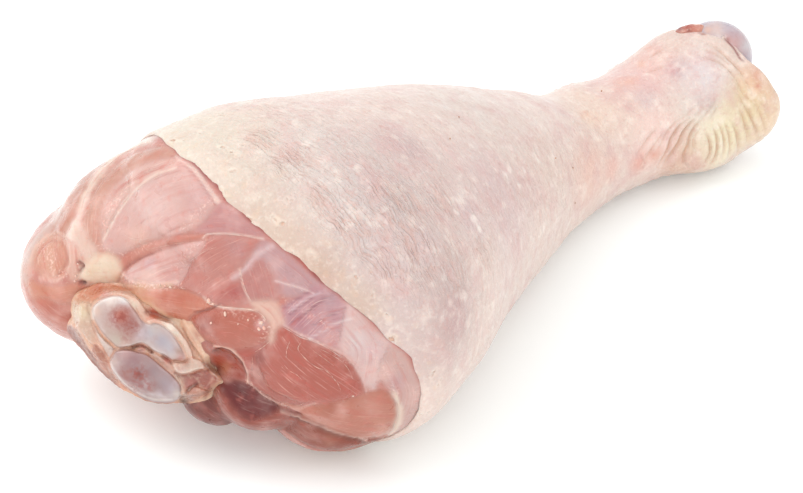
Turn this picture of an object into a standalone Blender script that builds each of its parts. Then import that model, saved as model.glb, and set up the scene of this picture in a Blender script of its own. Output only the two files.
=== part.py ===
"""Raw turkey drumstick: the leg bone, the meat round it, and the skin as a sleeve over the meat.

The leg lies along X with the cut knee end at -X and the hock at +X, and it rests on z = 0.
Sizes are in millimetres, and mm() turns them into metres.
"""

import math

import bmesh
import bpy
import numpy as np
from mathutils import Euler, Vector

# The leg's outside, over the skin: x along the leg, then its section's middle y, middle z,
# half width and half height. The half height goes past the floor where the flesh lies flat.
LEG_SECTIONS = (
    (-108, 24, 38, 12, 11),
    (-102, 21, 38, 24, 21),
    (-92, 14, 38.5, 37, 31.5),
    (-78, 4, 39.5, 48.5, 41),
    (-60, -4, 41, 52, 43),
    (-38, -4, 38.5, 46.5, 40),
    (-12, 0, 34, 39, 35),
    (15, 3, 28.5, 32, 29),
    (42, 5, 22, 24.5, 22),
    (68, 3, 17, 19, 16.5),
    (88, -1, 17, 19.5, 16.5),
    (104, -6, 19.5, 22, 19.5),
    (115, -11, 20.5, 22, 20.5),
    (122, -14, 22, 17, 16),
)
SIDES = 36

# A section is an ellipse over the top, and fuller below, where the slack flesh spreads.
UPPER_FULLNESS = 2.0
LOWER_FULLNESS = 2.5

# The skin's cut edge runs round the leg, nearer the knee over the top than under the leg.
SKIN_THICKNESS = 2.2
SKIN_EDGE_X = -66
SKIN_EDGE_REACH = 19
SKIN_EDGE_REACH_TOWARDS = 112
SKIN_HOCK_X = 118
SKIN_HOCK_LEAN = 5
SKIN_RINGS = 21

# What keeps two touching pieces apart.
GAP = 0.5

# The meat's core under the muscles, and how far it lies inside the skin's inner face.
CORE_INSET = SKIN_THICKNESS + GAP + 0.2
CORE_START_X = -100
CORE_END_X = 114
CORE_RINGS = 18

# The muscles at the knee end: centre, half sizes, and turns about X, Y and Z in degrees.
MUSCLES = (
    ("left calf muscle", (-81, 38, 33), (28, 22, 21), (0, 0, -25)),
    ("upper left muscle", (-80, 31, 45), (23, 22, 21), (0, 0, -10)),
    ("top muscle", (-75, 13, 49), (21, 27, 23), (0, 12, 20)),
    ("middle muscle", (-77, -8, 43), (20, 22, 22), (0, 0, -20)),
    ("muscle over the joint", (-86, 10, 43), (15, 15, 9), (0, 20, 0)),
    ("small oval muscle", (-82, -14, 39), (14, 11, 9), (10, 0, -20)),
    ("side muscle", (-72, -20, 43), (20, 22, 19), (0, 0, -25)),
    ("near calf muscle", (-70, -23, 33), (21, 22, 19), (0, 0, -30)),
    ("lower calf muscle", (-68, -27, 23), (20, 17, 15), (0, 0, -30)),
    ("bottom muscle", (-69, -24, 14), (16, 16, 12), (0, 0, -35)),
    ("dark muscle", (-83, -14, 22), (13, 12, 12), (0, 0, 0)),
    ("second dark muscle", (-86, -2, 16), (11, 10, 9), (0, 0, 0)),
    ("thin muscle by the joint", (-80, 32, 17), (14, 16, 11), (0, 0, 15)),
)
MUSCLE_SEGMENTS = 16
MUSCLE_RINGS = 10

# The leg bone: x, then its middle y, middle z and radius.
BONE_SECTIONS = (
    (-99, 10, 31, 9),
    (-94, 10, 31, 12),
    (-84, 9, 31, 10),
    (-66, 6, 32, 7),
    (-20, 2, 31, 6.5),
    (50, 3, 24, 6.5),
    (92, -2, 22, 7.5),
    (108, -9, 25, 10.5),
    (118, -13, 27.5, 10.5),
)
BONE_SIDES = 16
BONE_RINGS = 18

# The cartilage swellings at its ends: centre and half sizes.
BONE_ENDS = (
    ("upper knee facet", (-97, 18.5, 36), (7, 7.5, 7)),
    ("lower knee facet", (-97, 9.5, 23), (7, 9.5, 7)),
    ("knee ridge", (-97, 2, 34), (7, 4, 7)),
    ("hock roller", (118, -12, 28.5), (10, 10, 9.5)),
    ("second hock roller", (117, -12, 19), (8, 8, 8)),
)
END_SEGMENTS = 14
END_RINGS = 9

# Each piece's plain colour and roughness.
FINISHES = {
    "skin": ((0.80, 0.66, 0.60), 0.45),
    "meat": ((0.62, 0.25, 0.22), 0.30),
    "leg_bone": ((0.78, 0.74, 0.76), 0.25),
}
SHARP_ANGLE = 35


def mm(value):
    return value * 0.001


def clear_scene():
    for old in list(bpy.data.objects):
        bpy.data.objects.remove(old, do_unlink=True)


def finish_material(name):
    colour, roughness = FINISHES[name]
    material = bpy.data.materials.new(name)
    material.use_nodes = True
    shader = material.node_tree.nodes["Principled BSDF"]
    shader.inputs["Base Color"].default_value = (*colour, 1.0)
    shader.inputs["Roughness"].default_value = roughness
    shader.inputs["Metallic"].default_value = 0.0
    return material


def new_object(name, bm):
    """Makes an object of a bmesh, with its faces turned outwards."""
    bmesh.ops.recalc_face_normals(bm, faces=bm.faces)
    mesh = bpy.data.meshes.new(name)
    bm.to_mesh(mesh)
    bm.free()
    piece = bpy.data.objects.new(name, mesh)
    bpy.context.scene.collection.objects.link(piece)
    return piece


def section_at(table, x):
    """Reads a table of sections at x, on a cubic that passes through every row without a bulge."""
    rows = np.array(table, dtype=float)
    stations = rows[:, 0]
    values = rows[:, 1:]
    steps = np.diff(stations)[:, None]
    rises = np.diff(values, axis=0) / steps
    slopes = np.zeros_like(values)
    same_way = rises[:-1] * rises[1:] > 0
    mean = 2 * rises[:-1] * rises[1:] / np.where(same_way, rises[:-1] + rises[1:], 1)
    slopes[1:-1] = np.where(same_way, mean, 0)
    slopes[0] = rises[0]
    slopes[-1] = rises[-1]
    place = int(np.clip(np.searchsorted(stations, x) - 1, 0, len(stations) - 2))
    step = steps[place, 0]
    t = (x - stations[place]) / step
    start = (2 * t**3 - 3 * t**2 + 1) * values[place]
    start_slope = (t**3 - 2 * t**2 + t) * step * slopes[place]
    end = (3 * t**2 - 2 * t**3) * values[place + 1]
    end_slope = (t**3 - t**2) * step * slopes[place + 1]
    return start + start_slope + end + end_slope


def leg_point(x, angle, inset=0.0):
    """A point on the leg's outside, or inside it by the inset, flattened where the leg lies."""
    middle_y, middle_z, half_width, half_height = section_at(LEG_SECTIONS, x)
    across = math.cos(angle)
    upwards = math.sin(angle)
    power = 2 / (UPPER_FULLNESS if upwards > 0 else LOWER_FULLNESS)
    y = middle_y + (half_width - inset) * math.copysign(abs(across) ** power, across)
    z = middle_z + (half_height - inset) * math.copysign(abs(upwards) ** power, upwards)
    return Vector((mm(x), mm(y), mm(max(z, inset))))


def side_angles():
    return [math.tau * side / SIDES for side in range(SIDES)]


def skin_edge_x(angle):
    """Where the skin's cut edge lies along the leg, round the leg."""
    turn = angle - math.radians(SKIN_EDGE_REACH_TOWARDS)
    return SKIN_EDGE_X - SKIN_EDGE_REACH * ((1 + math.cos(turn)) / 2) ** 3


def skin_hock_x(angle):
    return SKIN_HOCK_X - SKIN_HOCK_LEAN * math.sin(angle)


def add_wall(bm, rings):
    """Joins rings of points into a wall of quads and returns the rings' vertices."""
    loops = [[bm.verts.new(point) for point in ring] for ring in rings]
    for near, far in zip(loops, loops[1:]):
        add_strip(bm, near, far)
    return loops


def add_strip(bm, near, far):
    count = len(near)
    for side in range(count):
        after = (side + 1) % count
        bm.faces.new((near[side], near[after], far[after], far[side]))


def sleeve(name, outer_inset, inner_inset, knee_margin=0.0, hock_margin=0.0):
    """A sleeve round the leg between two depths, from the skin's cut edge to the hock."""
    walls = []
    for inset in (outer_inset, inner_inset):
        rings = []
        for ring in range(SKIN_RINGS + 1):
            share = ring / SKIN_RINGS
            points = []
            for angle in side_angles():
                start = skin_edge_x(angle) - knee_margin
                end = skin_hock_x(angle) + hock_margin
                points.append(leg_point(start + (end - start) * share, angle, inset))
            rings.append(points)
        walls.append(rings)
    bm = bmesh.new()
    outer = add_wall(bm, walls[0])
    inner = add_wall(bm, walls[1])
    add_strip(bm, outer[0], inner[0])
    add_strip(bm, outer[-1], inner[-1])
    return new_object(name, bm)


def capped_loft(name, rings):
    """A closed solid through rings of points, with its two ends filled."""
    bm = bmesh.new()
    loops = add_wall(bm, rings)
    for loop in (loops[0], loops[-1]):
        middle = bm.verts.new(sum((vert.co for vert in loop), Vector()) / len(loop))
        for side in range(len(loop)):
            bm.faces.new((loop[side], loop[(side + 1) % len(loop)], middle))
    return new_object(name, bm)


def ellipsoid(name, centre, half_sizes, turns, segments, rings, grow=0.0):
    bm = bmesh.new()
    bmesh.ops.create_uvsphere(bm, u_segments=segments, v_segments=rings, radius=1)
    sizes = Vector(mm(size + grow) for size in half_sizes)
    bmesh.ops.scale(bm, vec=sizes, verts=bm.verts)
    turn = Euler([math.radians(angle) for angle in turns]).to_matrix()
    bmesh.ops.rotate(bm, matrix=turn, verts=bm.verts)
    bmesh.ops.translate(bm, vec=Vector(mm(value) for value in centre), verts=bm.verts)
    return new_object(name, bm)


def combine(target, tools, operation):
    """Applies a Boolean with each tool in turn and removes the tool."""
    for tool in tools:
        boolean = target.modifiers.new("combine", "BOOLEAN")
        boolean.operation = operation
        boolean.solver = "EXACT"
        boolean.object = tool
        bpy.context.view_layer.update()
        evaluated = target.evaluated_get(bpy.context.evaluated_depsgraph_get())
        result = bpy.data.meshes.new_from_object(evaluated)
        target.modifiers.clear()
        target.data = result
        bpy.data.objects.remove(tool, do_unlink=True)


def bone_solid(name, grow=0.0):
    """The bone with the cartilage at its ends, or its socket when it is grown by the gap."""
    first = BONE_SECTIONS[0][0] - grow
    last = BONE_SECTIONS[-1][0] + grow
    rings = []
    for ring in range(BONE_RINGS + 1):
        x = first + (last - first) * ring / BONE_RINGS
        middle_y, middle_z, radius = section_at(BONE_SECTIONS, x)
        points = []
        for side in range(BONE_SIDES):
            angle = math.tau * side / BONE_SIDES
            y = middle_y + (radius + grow) * math.cos(angle)
            z = middle_z + (radius + grow) * math.sin(angle)
            points.append(Vector((mm(x), mm(y), mm(z))))
        rings.append(points)
    bone = capped_loft(name, rings)
    swellings = [
        ellipsoid(f"{name} {label}", centre, sizes, (0, 0, 0), END_SEGMENTS, END_RINGS, grow)
        for label, centre, sizes in BONE_ENDS
    ]
    combine(bone, swellings, "UNION")
    return bone


def meat_solid(name):
    """The core with the muscles of the knee end, less the room that the skin and bone take."""
    rings = []
    for ring in range(CORE_RINGS + 1):
        x = CORE_START_X + (CORE_END_X - CORE_START_X) * ring / CORE_RINGS
        rings.append([leg_point(x, angle, CORE_INSET) for angle in side_angles()])
    meat = capped_loft(name, rings)
    muscles = [
        ellipsoid(label, centre, sizes, turns, MUSCLE_SEGMENTS, MUSCLE_RINGS)
        for label, centre, sizes, turns in MUSCLES
    ]
    combine(meat, muscles, "UNION")
    skin_room = sleeve("skin room", -SKIN_THICKNESS, SKIN_THICKNESS + GAP, GAP, GAP)
    combine(meat, [skin_room], "DIFFERENCE")
    combine(meat, [bone_solid("bone room", GAP)], "DIFFERENCE")
    return meat


def finish(piece):
    piece.data.shade_smooth()
    piece.data.set_sharp_from_angle(angle=math.radians(SHARP_ANGLE))
    piece.data.materials.clear()
    piece.data.materials.append(finish_material(piece.name))


def centre_over_origin(pieces):
    """Moves the pieces' meshes so that their common box stands centred on the origin."""
    corners = np.array([vert.co for piece in pieces for vert in piece.data.vertices])
    middle = (corners.min(axis=0) + corners.max(axis=0)) / 2
    shift = Vector((-middle[0], -middle[1], -corners[:, 2].min()))
    for piece in pieces:
        for vert in piece.data.vertices:
            vert.co += shift


clear_scene()
skin = sleeve("skin", 0.0, SKIN_THICKNESS)
meat = meat_solid("meat")
leg_bone = bone_solid("leg_bone")
centre_over_origin((skin, meat, leg_bone))
for piece in (skin, meat, leg_bone):
    finish(piece)
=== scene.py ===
import math

import bpy
import numpy as np
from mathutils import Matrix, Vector
from mathutils.bvhtree import BVHTree


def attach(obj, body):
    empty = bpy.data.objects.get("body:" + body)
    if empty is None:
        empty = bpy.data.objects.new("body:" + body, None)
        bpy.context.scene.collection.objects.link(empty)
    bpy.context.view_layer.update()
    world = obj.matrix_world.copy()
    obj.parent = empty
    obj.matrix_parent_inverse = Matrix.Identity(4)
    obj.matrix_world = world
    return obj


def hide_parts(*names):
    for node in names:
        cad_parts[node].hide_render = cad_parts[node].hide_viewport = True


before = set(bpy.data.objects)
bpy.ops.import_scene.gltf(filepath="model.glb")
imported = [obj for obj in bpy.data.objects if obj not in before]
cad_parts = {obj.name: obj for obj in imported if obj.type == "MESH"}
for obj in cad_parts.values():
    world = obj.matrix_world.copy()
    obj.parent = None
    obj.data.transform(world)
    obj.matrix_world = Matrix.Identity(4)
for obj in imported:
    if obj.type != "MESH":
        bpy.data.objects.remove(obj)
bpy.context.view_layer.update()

# ------------------------------------------------------------------------------------ camera
# The photograph looks down on the leg from beyond its knee end, through a long lens. The
# sizes below are in millimetres and become metres where a mesh is made.
MM = 0.001
PHOTO_WIDTH, PHOTO_HEIGHT = 803, 493
CAMERA_LENS, CAMERA_SENSOR = 110, 36
CAMERA_TURN, CAMERA_PITCH = math.radians(48), math.radians(34)
CAMERA_REACH = 650
CAMERA_AIM = np.array((-37.8, -14.74, 35.0))

forward = np.array((
    math.sin(CAMERA_TURN) * math.cos(CAMERA_PITCH),
    math.cos(CAMERA_TURN) * math.cos(CAMERA_PITCH),
    -math.sin(CAMERA_PITCH),
))
rightward = np.array((math.cos(CAMERA_TURN), -math.sin(CAMERA_TURN), 0.0))
upward = np.cross(rightward, forward)
camera_place = CAMERA_AIM - forward * CAMERA_REACH

camera = bpy.data.objects.new("photo_camera", bpy.data.cameras.new("photo_camera"))
camera.data.lens = CAMERA_LENS
camera.data.sensor_width = CAMERA_SENSOR
camera.data.clip_end = 10
camera.location = Vector(camera_place * MM)
camera.rotation_euler = Vector(forward).to_track_quat("-Z", "Y").to_euler()
bpy.context.scene.collection.objects.link(camera)
bpy.context.scene.camera = camera


def photo_ray(pixel):
    """The direction from the camera through a pixel of the photograph."""
    focal = CAMERA_LENS / CAMERA_SENSOR * PHOTO_WIDTH
    across = (pixel[0] - PHOTO_WIDTH / 2) / focal
    down = (pixel[1] - PHOTO_HEIGHT / 2) / focal
    return forward + rightward * across - upward * down


def photo_pixels(points):
    """Where points show in the photograph, in its pixels."""
    away = points - camera_place
    scale = CAMERA_LENS / CAMERA_SENSOR * PHOTO_WIDTH / (away @ forward)
    return np.stack((
        PHOTO_WIDTH / 2 + scale * (away @ rightward),
        PHOTO_HEIGHT / 2 - scale * (away @ upward),
    ), axis=-1)


# -------------------------------------------------------------------------------------- skin
# Turkey skin with its fat, drawn over the leg like a sleeve from a slanting cut near the knee
# to the hock. It is plump and cream at the cut, crinkled and lilac where it is stretched thin
# over the calf, dotted with feather follicles, and thrown into deep folds under the hock.
LEG_SHIFT = np.array((-9.8, -2.74, 0.0))
LEG_SECTIONS = np.array((
    (-108, 24, 38, 12, 11),
    (-102, 21, 38, 24, 21),
    (-92, 14, 38.5, 37, 31.5),
    (-78, 4, 39.5, 48.5, 41),
    (-60, -4, 41, 52, 43),
    (-38, -4, 38.5, 46.5, 40),
    (-12, 0, 34, 39, 35),
    (15, 3, 28.5, 32, 29),
    (42, 5, 22, 24.5, 22),
    (68, 3, 17, 19, 16.5),
    (88, -1, 17, 19.5, 16.5),
    (104, -6, 19.5, 22, 19.5),
    (115, -11, 20.5, 22, 20.5),
    (122, -14, 22, 17, 16),
))
LEG_SPAN = (LEG_SECTIONS[0, 0] + 0.1, LEG_SECTIONS[-1, 0] - 0.1)
UPPER_FULLNESS, LOWER_FULLNESS = 2.0, 2.5
SKIN_THICKNESS, SKIN_EDGE_THICKNESS = 2.2, 1.6
SKIN_EDGE = np.array((
    (0, -66), (25, -68.5), (42, -71.5), (58, -74.8), (72, -79.2), (81, -81.4), (93, -82.6), (101, -83.6),
    (110, -84.6), (117, -84.2), (125, -83.7), (133, -82.9), (141, -81.7), (147, -80.4), (154, -78.1),
    (161, -75.5), (170, -72.6), (175, -70.2), (180, -68.3), (186, -66.7), (191, -65.8), (198, -64.9),
    (207, -64.5), (219, -65.3), (250, -65), (300, -65),
))
SKIN_HOCK_X, SKIN_HOCK_LEAN = 118, 5
SKIN_EDGE_PLUMP, SKIN_EDGE_PLUMP_WIDTH = 1.2, 8
SKIN_ROWS, SKIN_COLUMNS, SKIN_LIP_ROWS, SKIN_INNER_ROWS = 300, 290, 8, 16
SKIN_FRONT, SKIN_FRONT_DENSITY = math.radians(140), 0.38
WRAP_RADIUS = 40


def leg_section(x):
    """Middle y, middle z, half width and half height of the leg at each x."""
    stations, values = LEG_SECTIONS[:, 0], LEG_SECTIONS[:, 1:]
    steps = np.diff(stations)[:, None]
    rises = np.diff(values, axis=0) / steps
    both = rises[:-1] * rises[1:]
    slopes = np.zeros_like(values)
    slopes[1:-1] = np.where(both > 0, 2 * both / np.where(both > 0, rises[:-1] + rises[1:], 1), 0)
    slopes[0], slopes[-1] = rises[0], rises[-1]
    place = np.clip(np.searchsorted(stations, x) - 1, 0, len(stations) - 2)
    step = steps[place]
    t = ((x - stations[place]) / step[..., 0])[..., None]
    return (
        (2 * t**3 - 3 * t**2 + 1) * values[place] + (t**3 - 2 * t**2 + t) * step * slopes[place]
        + (3 * t**2 - 2 * t**3) * values[place + 1] + (t**3 - t**2) * step * slopes[place + 1]
    )


def leg_points(x, angle, inset=0.0):
    """Points on the leg's outside, or inside it by the inset, as the CAD has them."""
    x, angle, inset = np.broadcast_arrays(x, angle, inset)
    middle_y, middle_z, half_width, half_height = np.moveaxis(leg_section(x), -1, 0)
    across, upwards = np.cos(angle), np.sin(angle)
    power = 2 / np.where(upwards > 0, UPPER_FULLNESS, LOWER_FULLNESS)
    y = middle_y + (half_width - inset) * np.sign(across) * np.abs(across) ** power
    z = middle_z + (half_height - inset) * np.sign(upwards) * np.abs(upwards) ** power
    return np.stack((x, y, np.maximum(z, inset)), axis=-1) + LEG_SHIFT


def leg_angle(points):
    """The angle round the leg at which each point lies, as leg_points takes it."""
    section = leg_section(np.clip(points[..., 0], *LEG_SPAN))
    across = (points[..., 1] - section[..., 0]) / section[..., 2]
    upwards = (points[..., 2] - section[..., 1]) / section[..., 3]
    power = np.where(upwards > 0, UPPER_FULLNESS, LOWER_FULLNESS) / 2
    return np.arctan2(np.sign(upwards) * np.abs(upwards) ** power, np.sign(across) * np.abs(across) ** power)


def smooth_step(value, low, high):
    t = np.clip((value - low) / (high - low), 0, 1)
    return t * t * (3 - 2 * t)


def bell(value, width):
    """1 where the value is 0, falling softly to nothing in two widths."""
    return np.exp(-((value / width) ** 2))


def skin_edge_x(angle):
    """Where the cut edge lies round the leg, with the small waves that the knife left."""
    turn = np.degrees(angle) % 360
    waves = 0.15 * np.sin(13 * angle + 2.2) + 0.12 * np.sin(29 * angle)
    return np.interp(turn, SKIN_EDGE[:, 0], SKIN_EDGE[:, 1], period=360) + waves


def skin_hock_x(angle):
    waves = 0.5 * np.sin(5 * angle + 1.0) + 0.35 * np.sin(11 * angle)
    return SKIN_HOCK_X - SKIN_HOCK_LEAN * np.sin(angle) + waves


def grid_faces(rows, columns, first=0):
    """Quads between rows of vertices that run round a closed section."""
    row, column = np.meshgrid(np.arange(rows - 1), np.arange(columns), indexing="ij")
    after = (column + 1) % columns
    corners = (row * columns + column, row * columns + after)
    upper = ((row + 1) * columns + after, (row + 1) * columns + column)
    return np.stack((*corners, *upper), axis=-1).reshape(-1, 4) + first


def closed_faces(rows, columns):
    """The same between a pole before the first row and a pole after the last, closed to both."""
    side = np.arange(columns)
    following = (side + 1) % columns
    last = 1 + (rows - 1) * columns
    start = np.stack((np.zeros(columns, int), following + 1, side + 1), axis=-1).tolist()
    end = np.stack((np.full(columns, last + columns), side + last, following + last), axis=-1).tolist()
    return grid_faces(rows, columns, 1).tolist() + start + end


def new_piece(name, points, faces, attributes=None, edges=()):
    """Makes a smooth mesh object from points in millimetres, with values stored on its points."""
    mesh = bpy.data.meshes.new(name)
    mesh.from_pydata((points * MM).tolist(), list(edges), [list(face) for face in faces])
    for label, values in (attributes or {}).items():
        kind = {1: "FLOAT", 3: "FLOAT_VECTOR"}[1 if values.ndim == 1 else values.shape[1]]
        store = mesh.attributes.new(label, kind, "POINT")
        store.data.foreach_set("value" if kind == "FLOAT" else "vector", values.ravel())
    mesh.shade_smooth()
    mesh.update()
    piece = bpy.data.objects.new(name, mesh)
    bpy.context.scene.collection.objects.link(piece)
    return piece


def linear(colour):
    """Turns an sRGB hex colour into the linear one that nodes take."""
    parts = np.array([int(colour[place:place + 2], 16) / 255 for place in (1, 3, 5)])
    return np.where(parts <= 0.04045, parts / 12.92, ((parts + 0.055) / 1.055) ** 2.4)


def surface_tree(piece):
    mesh = piece.data
    corners = np.zeros(len(mesh.vertices) * 3)
    mesh.vertices.foreach_get("co", corners)
    polygons = [tuple(polygon.vertices) for polygon in mesh.polygons]
    return BVHTree.FromPolygons((corners.reshape(-1, 3) / MM).tolist(), polygons)


def on_photo(surface, pixel):
    """Where the surface shows at a pixel of the photograph, in millimetres."""
    place, normal, face, distance = surface.ray_cast(Vector(camera_place), Vector(photo_ray(pixel)))
    if place is None:
        nearest = camera_place + photo_ray(pixel) * CAMERA_REACH
        place = surface.find_nearest(Vector(nearest))[0]
    return np.array(place)


def put(tree, kind, sockets=(), **settings):
    """Adds a node with its settings; a socket takes a value, or a node or socket to link to."""
    node = tree.nodes.new(kind)
    for name, value in settings.items():
        setattr(node, name, value)
    for name, value in sockets.items() if isinstance(sockets, dict) else enumerate(sockets):
        socket = node.inputs[name]
        if isinstance(value, bpy.types.Node):
            value = next(output for output in value.outputs if output.enabled)
        if isinstance(value, bpy.types.NodeSocket):
            tree.links.new(value, socket)
        else:
            socket.default_value = value
    return node


def new_geometry_tree(name, sizes):
    """A Geometry Nodes tree with one named number for each size, and a material to set."""
    tree = bpy.data.node_groups.new(name, "GeometryNodeTree")
    tree.interface.new_socket("Geometry", in_out="INPUT", socket_type="NodeSocketGeometry")
    for label, value in sizes.items():
        kind = "NodeSocketInt" if isinstance(value, int) else "NodeSocketFloat"
        tree.interface.new_socket(label, in_out="INPUT", socket_type=kind).default_value = value
    tree.interface.new_socket("Material", in_out="INPUT", socket_type="NodeSocketMaterial")
    tree.interface.new_socket("Geometry", in_out="OUTPUT", socket_type="NodeSocketGeometry")
    return tree, put(tree, "NodeGroupInput").outputs


def apply_tree(piece, tree, material, sizes=None):
    """Runs the tree on the piece once and keeps the plain mesh that it makes."""
    modifier = piece.modifiers.new(tree.name, "NODES")
    modifier.node_group = tree
    for item in tree.interface.items_tree:
        if item.in_out == "INPUT" and item.name == "Material":
            modifier[item.identifier] = material
        elif item.in_out == "INPUT" and item.name in (sizes or {}):
            modifier[item.identifier] = sizes[item.name]
    evaluated = piece.evaluated_get(bpy.context.evaluated_depsgraph_get())
    made = bpy.data.meshes.new_from_object(evaluated)
    piece.modifiers.clear()
    piece.data = made
    made.shade_smooth()


# Where the skin's rows and columns of points lie: closer together on the side that shows most.
share = np.arange(SKIN_COLUMNS) / SKIN_COLUMNS
columns = SKIN_FRONT + math.tau * share - SKIN_FRONT_DENSITY * np.sin(math.tau * share)
rows = np.interp(np.linspace(0, 1, SKIN_ROWS), (0, 0.48, 0.62, 1), (0, 0.46, 0.75, 1))[:, None]
edge_x, hock_x = skin_edge_x(columns), skin_hock_x(columns)


def edge_fatness(angle):
    """How plump the skin is at the cut: full on the near side, least over the top and below."""
    turn = np.degrees(angle) % 360
    return 0.35 + 0.65 * smooth_step(turn, 85, 120) * (1 - smooth_step(turn, 175, 205))


def skin_inset(from_edge, from_hock):
    """How far the skin's outside lies inside the leg's outline: plump at the cut and gathered in
    at the hock."""
    plump = SKIN_EDGE_PLUMP * edge_fatness(columns) * bell(from_edge - 4, SKIN_EDGE_PLUMP_WIDTH)
    gathered = 1.6 * (1 - smooth_step(from_hock, 0, 6))
    return gathered - plump


skin_x = edge_x + (hock_x - edge_x) * rows
skin_angle = np.broadcast_to(columns, skin_x.shape)
from_edge, from_hock = skin_x - edge_x, hock_x - skin_x
outer = leg_points(skin_x, skin_angle, skin_inset(from_edge, from_hock))

# The lip of the cut, half a round as thick as the skin there.
lip_turn = np.linspace(0, math.pi, SKIN_LIP_ROWS + 2)[1:-1, None]
lip_thickness = SKIN_EDGE_THICKNESS
lip_inset = skin_inset(0.0, 99.0) + lip_thickness * (1 - np.cos(lip_turn)) / 2
lip = leg_points(edge_x - lip_thickness / 2 * np.sin(lip_turn), skin_angle[0], lip_inset)
inner_share = np.linspace(0, 1, SKIN_INNER_ROWS)[:, None]
inner_x = edge_x + (hock_x - edge_x) * inner_share**1.6
inner_inset = SKIN_THICKNESS + 0.3 * inner_share
thinning = SKIN_THICKNESS - skin_inset(0.0, 99.0) - SKIN_EDGE_THICKNESS
inner_inset = inner_inset - thinning * bell(inner_x - edge_x, 9)
inner = leg_points(inner_x, columns, inner_inset)
hock_lip = leg_points(hock_x + 0.8, columns, 2.1)[None]

# Shifts that bring the outline and the rim at the hock to where the photograph has them: a
# pixel, and how many pixels to the right and down the skin moves there.
NUDGES = (
    ((600, 72), (1, 5)), ((625, 51), (2, 7)), ((640, 44), (1, 5)), ((655, 37), (0, 0)),
    ((672, 33), (-1, -4)), ((690, 33), (0, -4)), ((704, 36), (0, -4)), ((712, 43), (1, -9)),
    ((722, 48), (1, -10)), ((731, 53), (0, -8)), ((741, 58), (0, -2)), ((757, 67), (-2, -1)),
    ((767, 80), (1, 0)), ((771, 91), (4, 0)), ((774, 104), (5, 0)), ((774, 117), (6, 0)),
    ((771, 127), (5, 0)), ((769, 135), (-1, 0)), ((765, 145), (-7, -4)), ((757, 151), (-9, -3)),
    ((745, 156), (-8, 2)), ((730, 159), (-4, 5)), ((715, 163), (-1, 6)), ((700, 167), (0, 5)),
    ((682, 171), (-1, 3)), ((666, 175), (-1, -1)), ((650, 180), (0, -1)), ((700, 80), (0, 0)),
    ((720, 110), (0, 0)), ((680, 130), (0, 0)), ((745, 110), (1, 0)), ((650, 100), (0, 0)),
)


def spot(pixels, pixel, extent):
    """1 at a pixel of the photograph, falling softly to nothing round it."""
    return bell(np.linalg.norm(pixels - np.array(pixel), axis=1), extent)


def nudge(points, reach=15):
    """Moves points as the photograph sees them, along the floor where they lie on it."""
    pixels = photo_pixels(points)
    size = ((points - camera_place) @ forward / (CAMERA_LENS / CAMERA_SENSOR * PHOTO_WIDTH))[:, None]
    shift, total = np.zeros_like(pixels), np.full(len(points), 0.3)
    for pixel, move in NUDGES:
        weight = spot(pixels, pixel, reach)
        shift += weight[:, None] * np.array(move)
        total += weight
    shift = shift / total[:, None] * 1.25 * size
    low = (1 - smooth_step(points[:, 2], 5, 16))[:, None]
    level = -forward * (1, 1, 0) / np.linalg.norm(forward[:2])
    downward = level / math.sin(CAMERA_PITCH) * low - upward * (1 - low)
    return points + shift[:, :1] * rightward + shift[:, 1:] * downward


skin_rings = np.concatenate((inner[::-1], lip[::-1], outer, hock_lip))
skin_points = nudge(skin_rings.reshape(-1, 3))
ring_count = len(skin_rings)
skin_faces = grid_faces(ring_count, SKIN_COLUMNS)
closing = grid_faces(2, SKIN_COLUMNS)
closing = np.where(closing < SKIN_COLUMNS, closing + (ring_count - 1) * SKIN_COLUMNS, closing - SKIN_COLUMNS)
skin_faces = np.concatenate((skin_faces, closing))

# Values that the relief and the material read: how far a point is from the cut, how far it is
# round and along the leg on a cylinder, and how strongly each kind of relief shows.
design = skin_points - LEG_SHIFT
ring_angle = np.tile(columns, ring_count)
along = design[:, 0]
from_edge = along - np.tile(edge_x, ring_count)
outside = np.zeros((ring_count, SKIN_COLUMNS))
outside[SKIN_INNER_ROWS + SKIN_LIP_ROWS // 2:] = 1
outside = outside.ravel()
wrap = np.stack((along, WRAP_RADIUS * np.cos(ring_angle), WRAP_RADIUS * np.sin(ring_angle)), axis=-1)

skin_base = new_piece("skin_sleeve", skin_points, skin_faces)
skin_surface = surface_tree(skin_base)


def smooth_line(pixels, closed=False, steps=6):
    """A smooth line through pixels of the photograph."""
    knots = np.array(pixels, float)
    if closed:
        knots = np.concatenate((knots[-1:], knots, knots[:2]))
    else:
        knots = np.concatenate((2 * knots[:1] - knots[1:2], knots, 2 * knots[-1:] - knots[-2:-1]))
    a, b, c, d = (knots[place:len(knots) - 3 + place, None] for place in range(4))
    t = (np.arange(steps) / steps)[None, :, None]
    curve = b + 0.5 * t * (c - a + t * (2 * a - 5 * b + 4 * c - d + t * (3 * (b - c) + d - a)))
    curve = curve.reshape(-1, 2)
    return curve if closed else np.concatenate((curve, knots[-2:-1]))


def along_line(pixels, line):
    """How far along a line each place is, and its signed distance to the side, in pixels."""
    nearest = np.full(len(pixels), 1e9)
    along, aside = np.zeros(len(pixels)), np.zeros(len(pixels))
    run = 0.0
    for place, (start, stop) in enumerate(zip(line[:-1], line[1:])):
        length = np.hypot(*(stop - start))
        heading = (stop - start) / length
        forth = (pixels - start) @ heading
        side = (pixels - start) @ np.array((-heading[1], heading[0]))
        gap = np.hypot(forth - np.clip(forth, 0, length), side)
        closer = gap < nearest
        nearest = np.where(closer, gap, nearest)
        along = np.where(closer, run + forth, along)
        aside = np.where(closer, np.where(side < 0, -1, 1) * gap, aside)
        run += length
    return along, aside


def near_line(pixels, line, margin, among):
    """Which places lie in the box round a line, with a margin in pixels."""
    low, high = line.min(axis=0) - margin, line.max(axis=0) + margin
    return np.nonzero(among & (pixels > low).all(axis=1) & (pixels < high).all(axis=1))[0]


def lay(colours, tone, covers):
    """The colours with a tone laid over them, as far as it covers each."""
    return colours + (linear(tone) - colours) * covers[:, None]


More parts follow.
